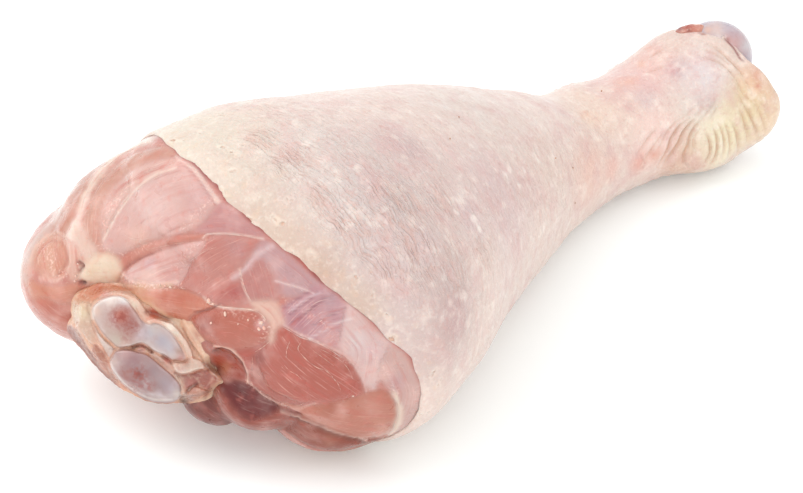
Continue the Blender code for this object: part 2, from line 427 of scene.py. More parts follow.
def paint(colours, pixels, stains, lines, where):
    """Lays stains and lines over the colours, as far as each point takes them."""
    for tone, pixel, extent, strength in stains:
        colours = lay(colours, tone, where * strength * spot(pixels, pixel, extent))
    for tone, strength, half_width, rise, line in lines:
        aside = along_line(pixels, smooth_line(line))[1]
        colours = lay(colours, tone, strength * bell(aside, half_width))
    return colours


# Creases of the slack skin at the hock, as the photograph shows them: strength and line.
CREASES = (
    (0.9, ((690, 118), (682, 124), (676, 132), (672, 140), (669, 150), (663, 160), (656, 170))),
    (1.0, ((697, 117), (690, 124), (684, 133), (680, 143), (674, 152), (667, 161), (662, 168))),
    (0.9, ((703, 119), (696, 126), (691, 136), (689, 146), (685, 154), (684, 162), (688, 168))),
    (0.6, ((701, 127), (697, 134), (694, 141), (694, 150), (692, 158))),
    (0.9, ((705, 131), (709, 139), (711, 148), (710, 156), (704, 165))),
    (1.0, ((711, 126), (716, 133), (718, 142), (718, 152), (715, 160), (709, 167))),
    (0.8, ((717, 121), (722, 130), (725, 140), (725, 150), (722, 160))),
    (0.8, ((724, 121), (728, 130), (731, 140), (731, 150), (728, 158))),
    (0.8, ((732, 122), (737, 132), (739, 141), (739, 150), (736, 155))),
    (0.7, ((738, 106), (743, 116), (746, 126), (748, 136), (747, 146))),
    (0.8, ((742, 100), (749, 112), (754, 124), (757, 135), (757, 142))),
    (0.6, ((750, 97), (757, 106), (762, 118), (765, 130), (765, 137))),
    (0.4, ((756, 96), (763, 106), (768, 117), (771, 128))),
    (0.5, ((683, 117), (674, 124), (667, 134), (662, 143), (655, 154))),
    (0.5, ((662, 124), (652, 134), (645, 144), (637, 156))),
    (0.5, ((668, 130), (660, 138), (652, 150), (644, 163), (640, 172))),
    (0.5, ((700, 48), (710, 51), (720, 56), (728, 63), (733, 71))),
    (0.6, ((696, 53), (706, 57), (718, 61), (728, 68), (736, 78), (742, 88))),
    (0.7, ((712, 46), (722, 52), (731, 60), (738, 67), (744, 75), (750, 82))),
    (0.5, ((703, 41), (713, 45), (724, 52), (735, 62), (745, 71))),
    (0.5, ((733, 71), (738, 80), (742, 90), (748, 98), (754, 104))),
    (0.4, ((741, 72), (746, 80), (750, 88), (756, 96))),
    (0.4, ((737, 88), (741, 97), (745, 106), (750, 113))),
    (0.4, ((719, 97), (713, 106), (706, 115), (699, 121))),
    (0.4, ((709, 104), (700, 112), (693, 119))),
    (0.4, ((721, 104), (714, 113), (710, 121))),
    (0.3, ((700, 104), (690, 112), (681, 120))),
    (0.3, ((764, 92), (768, 104), (769, 116))),
    (0.5, ((648, 58), (655, 52), (664, 47))),
    (0.4, ((644, 72), (655, 69), (668, 64))),
)
skin_pixels = photo_pixels(skin_points)
core_line = np.stack((along + LEG_SHIFT[0], np.zeros_like(along), np.full_like(along, 20.0)), axis=-1)
outwards = skin_points - core_line
near_side = smooth_step(-(outwards @ forward) / np.linalg.norm(outwards, axis=1), -0.05, 0.2)
fold, crease = np.zeros(len(skin_points)), np.zeros(len(skin_points))
for strength, line in CREASES:
    line = smooth_line(line)
    close = near_line(skin_pixels, line, 12, outside > 0)
    forth, aside = along_line(skin_pixels[close], line)
    length = np.linalg.norm(np.diff(line, axis=0), axis=1).sum()
    taper = strength * np.sin(math.pi * np.clip(forth / length, 0.03, 0.97)) ** 0.6
    fold[close] = np.maximum(fold[close], taper * (0.6 * bell(aside, 1.5) + 0.4 * bell(aside, 3.6)))
    crease[close] = np.maximum(crease[close], taper * bell(aside, 1.3))

# Tones: the colours in the photograph, each where it lies on the skin, how far it reaches in
# millimetres, and how strongly it covers the skin's common pink cream.
SKIN_BASE = "#EBD7CD"
SKIN_DARKEN = np.array((0.78, 0.75, 0.745))
SKIN_TONES = (
    # Cream over fat at the cut.
    ("#E4DDCA", (184, 138), 14, 1.2), ("#DACEBD", (222, 166), 12, 1.2), ("#CFB8A4", (256, 200), 9, 1.3),
    ("#D3B69F", (292, 236), 7.5, 1.4), ("#C39976", (324, 266), 6.5, 1.4),
    ("#CAAF8E", (362, 302), 5.5, 1.4), ("#F9F9F2", (396, 346), 4.5, 1.2),
    # Lilac beside the fat.
    ("#E9DCD4", (318, 205), 8, 1.2), ("#DCD1CE", (352, 240), 8, 1.2), ("#C7B0AF", (386, 285), 8, 1.2),
    ("#DBC7C1", (412, 330), 7, 1.2),
    # Lilac where it is thin.
    ("#DCD4CE", (300, 165), 14, 1.0), ("#C1B5B4", (360, 215), 16, 1.2), ("#DAC9C5", (410, 265), 16, 1.2),
    ("#BDA4A0", (440, 320), 13, 1.0), ("#DAC5C0", (420, 170), 13, 1.0), ("#DAC0C0", (500, 200), 12, 1.0),
    # Mauve patch.
    ("#D9C9C3", (368, 150), 5, 1.2), ("#C7ABAD", (403, 146), 5, 1.2), ("#BC8285", (455, 315), 6, 1.0),
    ("#D7C1C3", (470, 215), 5, 1.0), ("#DEC1BD", (530, 190), 5, 1.0), ("#E3C3C2", (420, 245), 5, 1.0),
    # Pale top.
    ("#E5D8CF", (470, 110), 14, 0.8),
    # Peach neck.
    ("#F1E1D8", (560, 130), 9, 1.0), ("#EDD7C7", (600, 105), 10, 1.2), ("#F2C7B6", (590, 175), 8, 1.0),
    ("#EBC3C0", (640, 75), 9, 1.2),
    # Orange patch.
    ("#F9E1CB", (592, 118), 3, 1.5), ("#EEB195", (626, 80), 3, 1.5),
    # Red patch.
    ("#E9A594", (640, 162), 2.6, 1.5), ("#E0A48F", (656, 155), 2.2, 1.5), ("#EDBDB0", (612, 168), 3, 1.2),
    # Pink knob.
    ("#E0CDC1", (668, 48), 8, 1.2), ("#EABFB3", (650, 62), 6, 1.2),
    # Lilac joint.
    ("#E2DCE4", (706, 84), 8, 1.6), ("#E6D8C8", (690, 95), 7, 1.4),
    # Mauve joint patch.
    ("#B596A2", (677, 69), 3, 1.4), ("#B09299", (707, 103), 3, 1.4), ("#D5C5C5", (646, 98), 3, 1.2),
    # Yellow folds.
    ("#DECC9C", (745, 102), 7, 2.0), ("#F8F0C7", (735, 125), 9, 1.8), ("#F1D4B5", (765, 120), 8, 1.6),
    ("#F9F5DD", (712, 145), 8, 1.4),
    # Peach folds.
    ("#D7A489", (690, 160), 7, 1.2), ("#F9DAD0", (660, 140), 8, 1.2),
    # Peach end.
    ("#F3C1A6", (757, 84), 5, 1.8), ("#D9BFA7", (765, 78), 4, 1.5),
    # Cream by the cartilage.
    ("#E2CFC0", (722, 55), 5, 1.2),
)

# Smaller marks on the side that the photograph shows, by reach in pixels, and thin dark lines.
SKIN_STAINS = (
    ("#C9B4BC", (748, 55), 5, 0.8), ("#D5BCC0", (742, 48), 4, 0.7), ("#E2A890", (705, 31), 4, 0.7),
    ("#E0A28C", (757, 76), 5, 0.6), ("#D98F78", (758, 86), 3, 0.7), ("#E9A894", (654, 155), 3, 0.6),
    ("#D8A0A0", (672, 70), 5, 0.6), ("#B78A94", (679, 69), 2.5, 0.6), ("#E3A896", (650, 48), 4, 0.4),
    ("#E5B59A", (585, 115), 4, 0.6), ("#9A8688", (776, 91), 1.6, 0.8), ("#E8B294", (641, 64), 4, 0.5),
    ("#DDA797", (562, 108), 5, 0.4), ("#E2B3A2", (618, 88), 5, 0.5), ("#D9B5B0", (630, 108), 6, 0.4),
)
SKIN_LINES = (
    ("#8E4546", 0.9, 1.1, 0, ((725, 39), (728, 42), (733, 47), (737, 53), (740, 58), (743, 61))),
    ("#9A5348", 0.7, 1.0, 0, ((699, 33), (702, 34.5), (705, 34))),
    ("#C68C80", 0.5, 1.2, 0, ((641, 156), (645, 163), (643, 168))),
)


def blend_tones(points, base, tones, surface):
    """Each point's colour: the base with every tone laid over it, weaker away from its place."""
    total = np.ones(len(points)) * 0.35
    colour = linear(base) * total[:, None]
    for tone, pixel, reach, strength in tones:
        away = np.linalg.norm(points - on_photo(surface, pixel), axis=1)
        weight = strength * bell(away, reach)
        colour += linear(tone) * weight[:, None]
        total += weight
    return colour / total[:, None] * SKIN_DARKEN


skin_tone = blend_tones(skin_points, SKIN_BASE, SKIN_TONES, skin_surface)
skin_tone = paint(skin_tone / SKIN_DARKEN, skin_pixels, SKIN_STAINS, SKIN_LINES, near_side) * SKIN_DARKEN
# The skin's inside and the inner part of its lip are red-brown: partly the raw underside's own colour,
# partly painted shade under the lip.
under_lip = np.arange(ring_count) < SKIN_INNER_ROWS + 0.3 * SKIN_LIP_ROWS
skin_tone[np.repeat(under_lip, SKIN_COLUMNS)] = linear("#A85A4C")

# Where the skin is thin and crinkled: pixel, reach in millimetres and strength.
CRINKLES = (
    ((300, 160), 9, 0.7), ((330, 235), 12, 1.0), ((372, 265), 13, 1.0), ((400, 205), 11, 1.0),
    ((445, 205), 9, 0.8), ((420, 250), 10, 1.0), ((455, 265), 10, 0.9), ((485, 250), 8, 0.8),
    ((400, 310), 9, 0.6), ((350, 190), 9, 0.7), ((530, 200), 8, 0.5), ((575, 160), 8, 0.5),
    ((440, 360), 9, 0.5), ((322, 195), 5, 1.0), ((345, 228), 5, 1.1), ((368, 260), 5, 1.1),
    ((392, 296), 5, 1.0), ((414, 330), 5, 0.9), ((262, 140), 6, 0.9), ((292, 160), 6, 1.1),
)


def strongest_mark(points, surface, marks):
    """How strongly the nearest of some marks in the photograph covers each point."""
    strongest = np.zeros(len(points))
    for pixel, extent, strength in marks:
        away = np.linalg.norm(points - on_photo(surface, pixel), axis=1)
        strongest = np.maximum(strongest, strength * bell(away, extent))
    return strongest


thin = 0.42 * smooth_step(from_edge, 9, 20) * (1 - smooth_step(along, 20, 75))
thin = np.maximum(thin, strongest_mark(skin_points, skin_surface, CRINKLES))
far_thin = smooth_step(from_edge, 8, 40) * (1 - smooth_step(along, 0, 70)) * (1 - near_side)
thin = np.maximum(thin, 0.4 * far_thin) * smooth_step(from_edge, 5, 12)

# Soft pale bumps over the feather follicles, strongest in these places.
BUMPS = (
    ((470, 215), 12, 1.0), ((492, 232), 9, 1.0), ((515, 180), 12, 0.9), ((550, 160), 12, 0.7),
    ((470, 145), 10, 0.5), ((505, 175), 7, 1.0), ((540, 215), 10, 0.8), ((440, 300), 12, 0.6),
    ((480, 300), 12, 0.7), ((580, 120), 12, 0.5), ((620, 120), 10, 0.4), ((430, 150), 9, 0.4),
)
bumpy = np.maximum(strongest_mark(skin_points, skin_surface, BUMPS), 0.12)
bumpy = np.maximum(bumpy, 0.7 * smooth_step(from_edge, 30, 60) * (1 - near_side))
ring_turn = np.degrees(ring_angle) % 360
plump_reach = np.interp(ring_turn, (80, 105, 140, 180, 210, 300), (15, 14, 9.5, 6.5, 6, 14))
skin_values = {
    "tone": skin_tone,
    "wrap": wrap * MM,
    "thin": thin * outside,
    "outside": outside,
    "bumpy": bumpy,
    "plump": bell(from_edge, plump_reach) * outside,
    "fold": fold,
    "crease": crease,
}
bpy.data.objects.remove(skin_base, do_unlink=True)
skin = new_piece("skin_sleeve", skin_points, skin_faces, skin_values)

# Relief, made by nodes: soft follicle bumps on a scatter of points, crinkles that run round the
# leg, slack undulations, pits in the fat near the cut, and the folds under the hock.
relief, given = new_geometry_tree("skin relief", {
    "Follicle spacing": 2.7 * MM,
    "Follicle radius": 1.5 * MM,
    "Follicle height": 0.40 * MM,
    "Crinkle width": 1.9 * MM,
    "Crinkle length": 9.0 * MM,
    "Crinkle depth": 0.10 * MM,
    "Pit spacing": 2.8 * MM,
    "Pit radius": 1.0 * MM,
    "Pit depth": 0.28 * MM,
    "Undulation width": 17.0 * MM,
    "Undulation height": 1.3 * MM,
    "Lump width": 4.5 * MM,
    "Lump height": 0.35 * MM,
    "Fold depth": 1.35 * MM,
    "Seed": 7,
})


def soft_dots(tree, given, spacing, radius, density, seed, middle):
    """A scatter of soft dots on the surface: their middle value, falling to 0 at their radius."""
    scatter = put(tree, "GeometryNodeDistributePointsOnFaces", {
        "Mesh": given["Geometry"], "Distance Min": given[spacing], "Density Max": 4.0e5,
        "Density Factor": density, "Seed": seed}, distribute_method="POISSON")
    near = put(tree, "GeometryNodeProximity", (scatter.outputs["Points"],), target_element="POINTS")
    sockets = (near.outputs["Distance"], 0.0, given[radius], middle, 0.0)
    return put(tree, "ShaderNodeMapRange", sockets, interpolation_type="SMOOTHSTEP")


def stretched_noise(tree, given, vector, length, width):
    """Noise from 0 to 1, with one size of the tree along X and another along Y and Z."""
    sizes = (given[length], given[width], given[width])
    scale = put(tree, "ShaderNodeCombineXYZ", [
        put(tree, "ShaderNodeMath", (1.0, size), operation="DIVIDE") for size in sizes])
    place = put(tree, "ShaderNodeVectorMath", (vector, scale), operation="MULTIPLY")
    return put(tree, "ShaderNodeTexNoise", {"Vector": place, "Scale": 1.0, "Detail": 1.5})


def middle_lines(tree, hills, sharpness, middle):
    """Thin lines where noise crosses its middle: their middle value, falling to 0 beside them."""
    level = put(tree, "ShaderNodeMath", (hills, 0.5), operation="SUBTRACT")
    level = put(tree, "ShaderNodeMath", (level,), operation="ABSOLUTE")
    sockets = (level, 0.0, sharpness, middle, 0.0)
    return put(tree, "ShaderNodeMapRange", sockets, interpolation_type="SMOOTHSTEP")


def soft_hills(tree, given, width):
    """Hills from -0.5 to 0.5, as wide as that size of the tree."""
    scale = put(tree, "ShaderNodeMath", (1.0, given[width]), operation="DIVIDE")
    place = put(tree, "GeometryNodeInputPosition")
    hills = put(tree, "ShaderNodeTexNoise", {"Vector": place, "Scale": scale, "Detail": 2.0})
    return put(tree, "ShaderNodeMath", (hills, 0.5), operation="SUBTRACT")


def layered(tree, total, layers):
    """Adds to the total, for each layer in turn, its value times its share."""
    for value, share in layers:
        total = put(tree, "ShaderNodeMath", (value, share, total), operation="MULTIPLY_ADD")
    return total


def raise_surface(tree, given, height):
    """Moves the surface out along its normals."""
    normal = put(tree, "GeometryNodeInputNormal")
    raised = put(tree, "ShaderNodeVectorMath", {0: normal, "Scale": height}, operation="SCALE")
    return put(tree, "GeometryNodeSetPosition", {"Geometry": given["Geometry"], "Offset": raised})


def finish_tree(tree, given, geometry):
    """Ends a tree with plain geometry in the material that it is given."""
    plain = put(tree, "GeometryNodeRealizeInstances", {"Geometry": geometry})
    covered = put(tree, "GeometryNodeSetMaterial", {"Geometry": plain, "Material": given["Material"]})
    put(tree, "NodeGroupOutput", {"Geometry": covered})


stored = {
    label: put(relief, "GeometryNodeInputNamedAttribute", {"Name": label}, data_type="FLOAT")
    for label in ("outside", "bumpy", "plump", "thin", "fold")}
follicle = soft_dots(
    relief, given, "Follicle spacing", "Follicle radius", stored["outside"], given["Seed"], 1.0)
follicle = put(relief, "ShaderNodeMath", (follicle, stored["bumpy"]), operation="MULTIPLY")
pit_seed = put(relief, "ShaderNodeMath", (given["Seed"], 1.0), operation="ADD")
pit = soft_dots(relief, given, "Pit spacing", "Pit radius", stored["plump"], pit_seed, -1.0)
pit = put(relief, "ShaderNodeMath", (pit, stored["plump"]), operation="MULTIPLY")

wrapped = put(relief, "GeometryNodeInputNamedAttribute", {"Name": "wrap"}, data_type="FLOAT_VECTOR")
wander = put(relief, "ShaderNodeTexNoise", {"Vector": wrapped, "Scale": 90.0, "Detail": 2.0})
wander = (wander.outputs["Color"], (2.2 * MM,) * 3, wrapped)
wandered = put(relief, "ShaderNodeVectorMath", wander, operation="MULTIPLY_ADD")
crinkle = stretched_noise(relief, given, wandered, "Crinkle width", "Crinkle length")
crinkle = middle_lines(relief, crinkle, 0.12, -1.0)
crinkle = put(relief, "ShaderNodeMath", (crinkle, stored["thin"]), operation="MULTIPLY")

fold_depth = put(relief, "ShaderNodeMath", (given["Fold depth"], -1.0), operation="MULTIPLY")
height = layered(relief, 0.0, (
    (follicle, given["Follicle height"]),
    (pit, given["Pit depth"]),
    (crinkle, given["Crinkle depth"]),
    (soft_hills(relief, given, "Undulation width"), given["Undulation height"]),
    (soft_hills(relief, given, "Lump width"), given["Lump height"]),
    (stored["fold"], fold_depth),
))
height = put(relief, "ShaderNodeMath", (height, stored["outside"]), operation="MULTIPLY")
moved = raise_surface(relief, given, height)
settled = put(relief, "ShaderNodeSeparateXYZ", (put(relief, "GeometryNodeInputPosition"),)).outputs
above_floor = put(relief, "ShaderNodeMath", (settled["Z"], 0.05 * MM), operation="MAXIMUM")
settled = put(relief, "ShaderNodeCombineXYZ", (settled["X"], settled["Y"], above_floor))
finish_tree(relief, given, put(relief, "GeometryNodeSetPosition", {"Geometry": moved, "Position": settled}))


def new_material(name, roughness, ior, subsurface, subsurface_mm, coat, coat_roughness):
    """A moist tissue: light goes in and comes back redder, under a thin film of water."""
    material = bpy.data.materials.new(name)
    material.use_nodes = True
    tree = material.node_tree
    shader = tree.nodes["Principled BSDF"]
    shader.inputs["Roughness"].default_value = roughness
    shader.inputs["IOR"].default_value = ior
    shader.inputs["Subsurface Weight"].default_value = subsurface
    shader.inputs["Subsurface Radius"].default_value = (1.0, 0.42, 0.30)
    shader.inputs["Subsurface Scale"].default_value = subsurface_mm * MM
    shader.inputs["Coat Weight"].default_value = coat
    shader.inputs["Coat Roughness"].default_value = coat_roughness
    shader.inputs["Coat IOR"].default_value = 1.33
    return material, tree, shader


def soft_step(tree, value, low, high, start, end, *masks):
    """Goes softly from start to end as the value goes from low to high, times the masks."""
    step = put(tree, "ShaderNodeMapRange", (value, low, high, start, end), interpolation_type="SMOOTHSTEP")
    for mask in masks:
        step = put(tree, "ShaderNodeMath", (step, mask), operation="MULTIPLY")
    return step


def tint(tree, tone, colour, value, low, high, share, *masks, start=0.0):
    """Lays a colour over the tone, up to its share, as the value goes from low to high."""
    covers = soft_step(tree, value, low, high, start, share, *masks)
    return put(tree, "ShaderNodeMix", {
        0: covers, 6: tone, 7: (*linear(colour), 1.0)}, data_type="RGBA").outputs[2]


def patches(tree, place, size_mm, detail, low, high, start, end, *masks):
    """Noise of a size in millimetres that goes softly from start to end, times the masks."""
    noise = put(tree, "ShaderNodeTexNoise", {"Vector": place, "Scale": 1 / (size_mm * MM), "Detail": detail})
    return soft_step(tree, noise, low, high, start, end, *masks)


def clouds(tree, tone, colour, place, size_mm, detail, low, high, share, *masks, start=0.0):
    """Lays clouds of a colour over the tone, where noise of a size in millimetres is high."""
    noise = put(tree, "ShaderNodeTexNoise", {"Vector": place, "Scale": 1 / (size_mm * MM), "Detail": detail})
    return tint(tree, tone, colour, noise, low, high, share, *masks, start=start)


def drifted(tree, vector, place, size_mm, detail, reach_mm):
    """The vector, pushed about by noise of a size in millimetres."""
    push = put(tree, "ShaderNodeTexNoise", {
        "Vector": place, "Scale": 1 / (size_mm * MM), "Detail": detail}).outputs["Color"]
    return put(tree, "ShaderNodeVectorMath", (push, (reach_mm * MM,) * 3, vector), operation="MULTIPLY_ADD")


def wrinkles(tree, vector, turn, width_mm, length_mm, sharpness):
    """Thin lines that wander along the skin: 1 in a line, 0 beside it."""
    place = put(tree, "ShaderNodeMapping", {
        "Vector": vector, "Rotation": (0, 0, turn),
        "Scale": (1 / (width_mm * MM), 1 / (length_mm * MM), 1 / (length_mm * MM))})
    hills = put(tree, "ShaderNodeTexNoise", {"Vector": place, "Scale": 1.0, "Detail": 2.0})
    return middle_lines(tree, hills, sharpness, 1.0)


# Thin moist skin: the fat and the dark meat below give it cream, mauve and rose clouds; fine
# wrinkles, pores and follicles break its soft shine.
raw_skin, tree, shader = new_material("raw turkey skin", 0.40, 1.42, 0.12, 0.6, 0.30, 0.22)
space = put(tree, "ShaderNodeTexCoord").outputs["Object"]
tone = put(tree, "ShaderNodeAttribute", attribute_name="tone").outputs["Color"]
wrapped = put(tree, "ShaderNodeAttribute", attribute_name="wrap").outputs["Vector"]
plump, crinkled, bumpy, creases = (
    put(tree, "ShaderNodeAttribute", attribute_name=label).outputs["Fac"]
    for label in ("plump", "thin", "bumpy", "crease"))
thinner = soft_step(tree, plump, 0.0, 1.0, 1.0, 0.3)
tone = clouds(tree, tone, "#C79F9C", space, 7.5, 4.0, 0.45, 0.70, 0.46, thinner)
tone = clouds(tree, tone, "#EADDD2", space, 4.2, 4.0, 0.50, 0.75, 0.42, thinner)
tone = clouds(tree, tone, "#C08C82", space, 1.4, 4.0, 0.52, 0.72, 0.26, thinner)
tone = clouds(tree, tone, "#F2E8DE", space, 1.0, 3.0, 0.52, 0.72, 0.16)

drift = drifted(tree, wrapped, space, 8.0, 2.0, 4.0)
lines = layered(tree, 0.0, (
    (wrinkles(tree, drift, -0.6, 1.6, 4.5, 0.07), 0.45),
    (wrinkles(tree, drift, 0.35, 1.4, 5.0, 0.08), 0.7),
    (wrinkles(tree, drift, 0.0, 1.8, 12.0, 0.085), 0.9),
))
lines = soft_step(tree, crinkled, 0.0, 1.0, 0.12, 1.0, lines)
# Painted shade: the wrinkles are tinted darker along their furrows.
tone = tint(tree, tone, "#BE968A", lines, 0.0, 1.6, 0.50)

some = patches(tree, space, 8.0, 2.0, 0.38, 0.60, 0.0, 1.0)
cells = put(tree, "ShaderNodeTexVoronoi", {
    "Vector": space, "Scale": 1 / (3.7 * MM), "Smoothness": 0.5}, feature="SMOOTH_F1")
knobs = soft_step(tree, cells.outputs["Distance"], 0.56, 0.08, 0.0, 1.0, some, bumpy)
tone = tint(tree, tone, "#F4E9E0", knobs, 0.0, 1.0, 0.52)

# Pebbles in the plump fat at the cut: their hollows are tinted tan as painted shade and their crests paler
# as painted highlight.
pebbles = put(tree, "ShaderNodeTexNoise", {"Vector": space, "Scale": 1 / (3.4 * MM), "Detail": 1.5})
pebble_hollow_shade = soft_step(tree, pebbles, 0.46, 0.30, 0.0, 1.0, plump)
tone = tint(tree, tone, "#D3AE8E", pebble_hollow_shade, 0.0, 1.0, 0.18)
pebble_crest_highlight = soft_step(tree, pebbles, 0.55, 0.72, 0.0, 1.0, plump)
tone = tint(tree, tone, "#FAF0E0", pebble_crest_highlight, 0.0, 1.0, 0.10)
# Pores in the plump fat: each pit is dark tan, partly its own colour and partly painted shade, and its
# raised rim has a pale painted highlight.
pore_place = put(tree, "ShaderNodeMapping", {"Vector": wrapped, "Scale": (1.0, 0.6, 0.6)})
pore_place = drifted(tree, pore_place, space, 2.2, 3.0, 2.4)
cells = put(tree, "ShaderNodeTexVoronoi", {
    "Vector": pore_place, "Scale": 1 / (3.0 * MM), "Smoothness": 0.0}, feature="SMOOTH_F1")
some = patches(tree, space, 6.0, 1.0, 0.42, 0.60, 0.0, 1.0)
pores = soft_step(tree, cells.outputs["Distance"], 0.22, 0.06, 0.0, 1.0, plump, some)
rims = soft_step(tree, cells.outputs["Distance"], 0.50, 0.20, 0.0, 1.0, plump, some)
tone = tint(tree, tone, "#F8EEDF", rims, 0.0, 1.0, 0.18)
tone = tint(tree, tone, "#BE8262", pores, 0.0, 1.0, 0.60)
# The folds under the hock are tinted tan in their creases: partly the skin's own orange there, partly
# painted shade.
tone = tint(tree, tone, "#BC8868", creases, 0.0, 1.0, 0.58)
tree.links.new(tone, shader.inputs["Base Color"])
dullness = patches(tree, space, 6.0, 2.0, 0.3, 0.7, 0.32, 0.50)
tree.links.new(dullness.outputs[0], shader.inputs["Roughness"])

fine_grain = put(tree, "ShaderNodeTexNoise", {"Vector": space, "Scale": 1 / (0.8 * MM), "Detail": 3.0})
coarse_grain = put(tree, "ShaderNodeTexNoise", {"Vector": space, "Scale": 1 / (2.2 * MM), "Detail": 3.0})
plump_pebbles = put(tree, "ShaderNodeMath", (pebbles, plump), operation="MULTIPLY")
height = layered(tree, fine_grain, (
    (lines, -0.88), (coarse_grain, 1.6), (knobs, 0.9), (rims, 0.6), (pores, -1.8), (plump_pebbles, 1.8),
    (creases, -0.9)))
bump = put(tree, "ShaderNodeBump", {"Strength": 0.85, "Distance": 0.28 * MM, "Height": height})
tree.links.new(bump.outputs[0], shader.inputs["Normal"])

apply_tree(skin, relief, raw_skin)
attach(skin, "root")
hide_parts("skin")

# -------------------------------------------------------------------------------------- meat
# The leg's muscles, bare where the skin is drawn back at the knee. Each is a bundle of red
# fibres in a thin white sheath, and they bulge past the cut because nothing holds them. What
# shows in the photograph is laid out by pixel; the far side follows the muscles of the CAD.
MUSCLES = (
    ("#DDA090", (-81, 38, 33), (28, 22, 21), (0, 0, -25)),  # left calf muscle
    ("#E0A797", (-80, 31, 45), (23, 22, 21), (0, 0, -10)),  # upper left muscle
    ("#E3B3A6", (-75, 13, 49), (21, 27, 23), (0, 12, 20)),  # top muscle
    ("#D2988C", (-77, -8, 43), (20, 22, 22), (0, 0, -20)),  # middle muscle
    ("#D9A08C", (-86, 10, 43), (15, 15, 9), (0, 20, 0)),  # muscle over the joint
    ("#C67E70", (-82, -14, 39), (14, 11, 9), (10, 0, -20)),  # small oval muscle
    ("#CC9294", (-72, -20, 43), (20, 22, 19), (0, 0, -25)),  # side muscle
    ("#C27468", (-70, -23, 33), (21, 22, 19), (0, 0, -30)),  # near calf muscle
    ("#C98A7B", (-68, -27, 23), (20, 17, 15), (0, 0, -30)),  # lower calf muscle
    ("#BF8468", (-69, -24, 14), (16, 16, 12), (0, 0, -35)),  # bottom muscle
    # The two dark muscles low under the joint are maroon partly as painted shade.
    ("#8A4A46", (-83, -14, 22), (13, 12, 12), (0, 0, 0)),  # dark muscle
    ("#94605E", (-86, -2, 16), (11, 10, 9), (0, 0, 0)),  # second dark muscle
    ("#C98A78", (-80, 32, 17), (14, 16, 11), (0, 0, 15)),  # thin muscle by the joint
    ("#B9695A", (-79, 18, 22), (20, 18, 14), (0, 0, 0)),  # flesh behind the joint
    ("#C98A7B", (-72, 20, 14), (16, 22, 13), (0, 0, 10)),  # muscle on the floor
    ("#B5655A", (-71, -3, 13), (15, 15, 12), (0, 0, 0)),  # muscle on the floor
)
MEAT_MIDDLE = np.array((-60.0, 8.0, 33.0))
MEAT_ROWS, MEAT_COLUMNS = 212, 408
MEAT_LAST_TURN = math.radians(112)
MEAT_BACK_ROWS = 16
MEAT_INSET = 2.6
MEAT_SOFTNESS = 1.5
MEAT_BACK_X = 114
CORE_MIDDLE, CORE_SIZE = (-62, 6, 38), (33, 30, 27)
LONGEST_REACH, KNEE_END_X = 95.0, -107
PIXEL_SIZE = 0.26


def turned(angles):
    """The rotation for turns about X, Y and Z in degrees."""
    a, b, c = np.radians(angles)
    about_x = np.array(((1, 0, 0), (0, math.cos(a), -math.sin(a)), (0, math.sin(a), math.cos(a))))
    about_y = np.array(((math.cos(b), 0, math.sin(b)), (0, 1, 0), (-math.sin(b), 0, math.cos(b))))
    about_z = np.array(((math.cos(c), -math.sin(c), 0), (math.sin(c), math.cos(c), 0), (0, 0, 1)))
    return about_z @ about_y @ about_x


def reach_to(rays, centre, half_sizes, angles, origin=MEAT_MIDDLE):
    """How far each ray from the origin runs before it leaves an ellipsoid."""
    turning = turned(angles)
    start = (origin - np.array(centre)) @ turning / np.array(half_sizes)
    along = rays @ turning / np.array(half_sizes)
    a = (along**2).sum(-1)
    b = (along * start).sum(-1)
    inside = b * b - a * ((start**2).sum() - 1)
    return np.where(inside > 0, (np.sqrt(np.maximum(inside, 0)) - b) / a, 0)


def reach_to_leg(rays, inset):
    """How far each ray runs before it leaves the leg's outline, less an inset."""
    low, high = np.zeros(rays.shape[:-1]), np.full(rays.shape[:-1], LONGEST_REACH)
    for halving in range(18):
        half = (low + high) / 2
        point = MEAT_MIDDLE + rays * half[..., None]
        section = leg_section(np.clip(point[..., 0], *LEG_SPAN))
        across = np.abs(point[..., 1] - section[..., 0]) / np.maximum(section[..., 2] - inset, 1)
        upwards = (point[..., 2] - section[..., 1]) / np.maximum(section[..., 3] - inset, 1)
        fullness = np.where(upwards > 0, UPPER_FULLNESS, LOWER_FULLNESS)
        within = across**fullness + np.abs(upwards) ** fullness < 1
        within &= (point[..., 2] > inset) & (point[..., 0] > KNEE_END_X)
        low, high = np.where(within, half, low), np.where(within, high, half)
    return low


share = np.arange(MEAT_COLUMNS) / MEAT_COLUMNS
meat_columns = SKIN_FRONT + math.tau * share - 0.3 * np.sin(math.tau * share)
meat_turns = np.linspace(0, 1, MEAT_ROWS + 1)[1:, None] ** 0.9 * MEAT_LAST_TURN
rays = np.stack(np.broadcast_arrays(
    -np.cos(meat_turns),
    np.sin(meat_turns) * np.cos(meat_columns),
    np.sin(meat_turns) * np.sin(meat_columns),
), axis=-1)
reaches = [reach_to(rays, *shape) for tone, *shape in MUSCLES]
reaches.append(reach_to(rays, CORE_MIDDLE, CORE_SIZE, (0, 0, 0)))
reaches = np.stack(reaches)
largest = reaches.max(axis=0)
bare = largest + MEAT_SOFTNESS * np.log(np.exp((reaches - largest) / MEAT_SOFTNESS).sum(axis=0))
under = reach_to_leg(rays, MEAT_INSET)

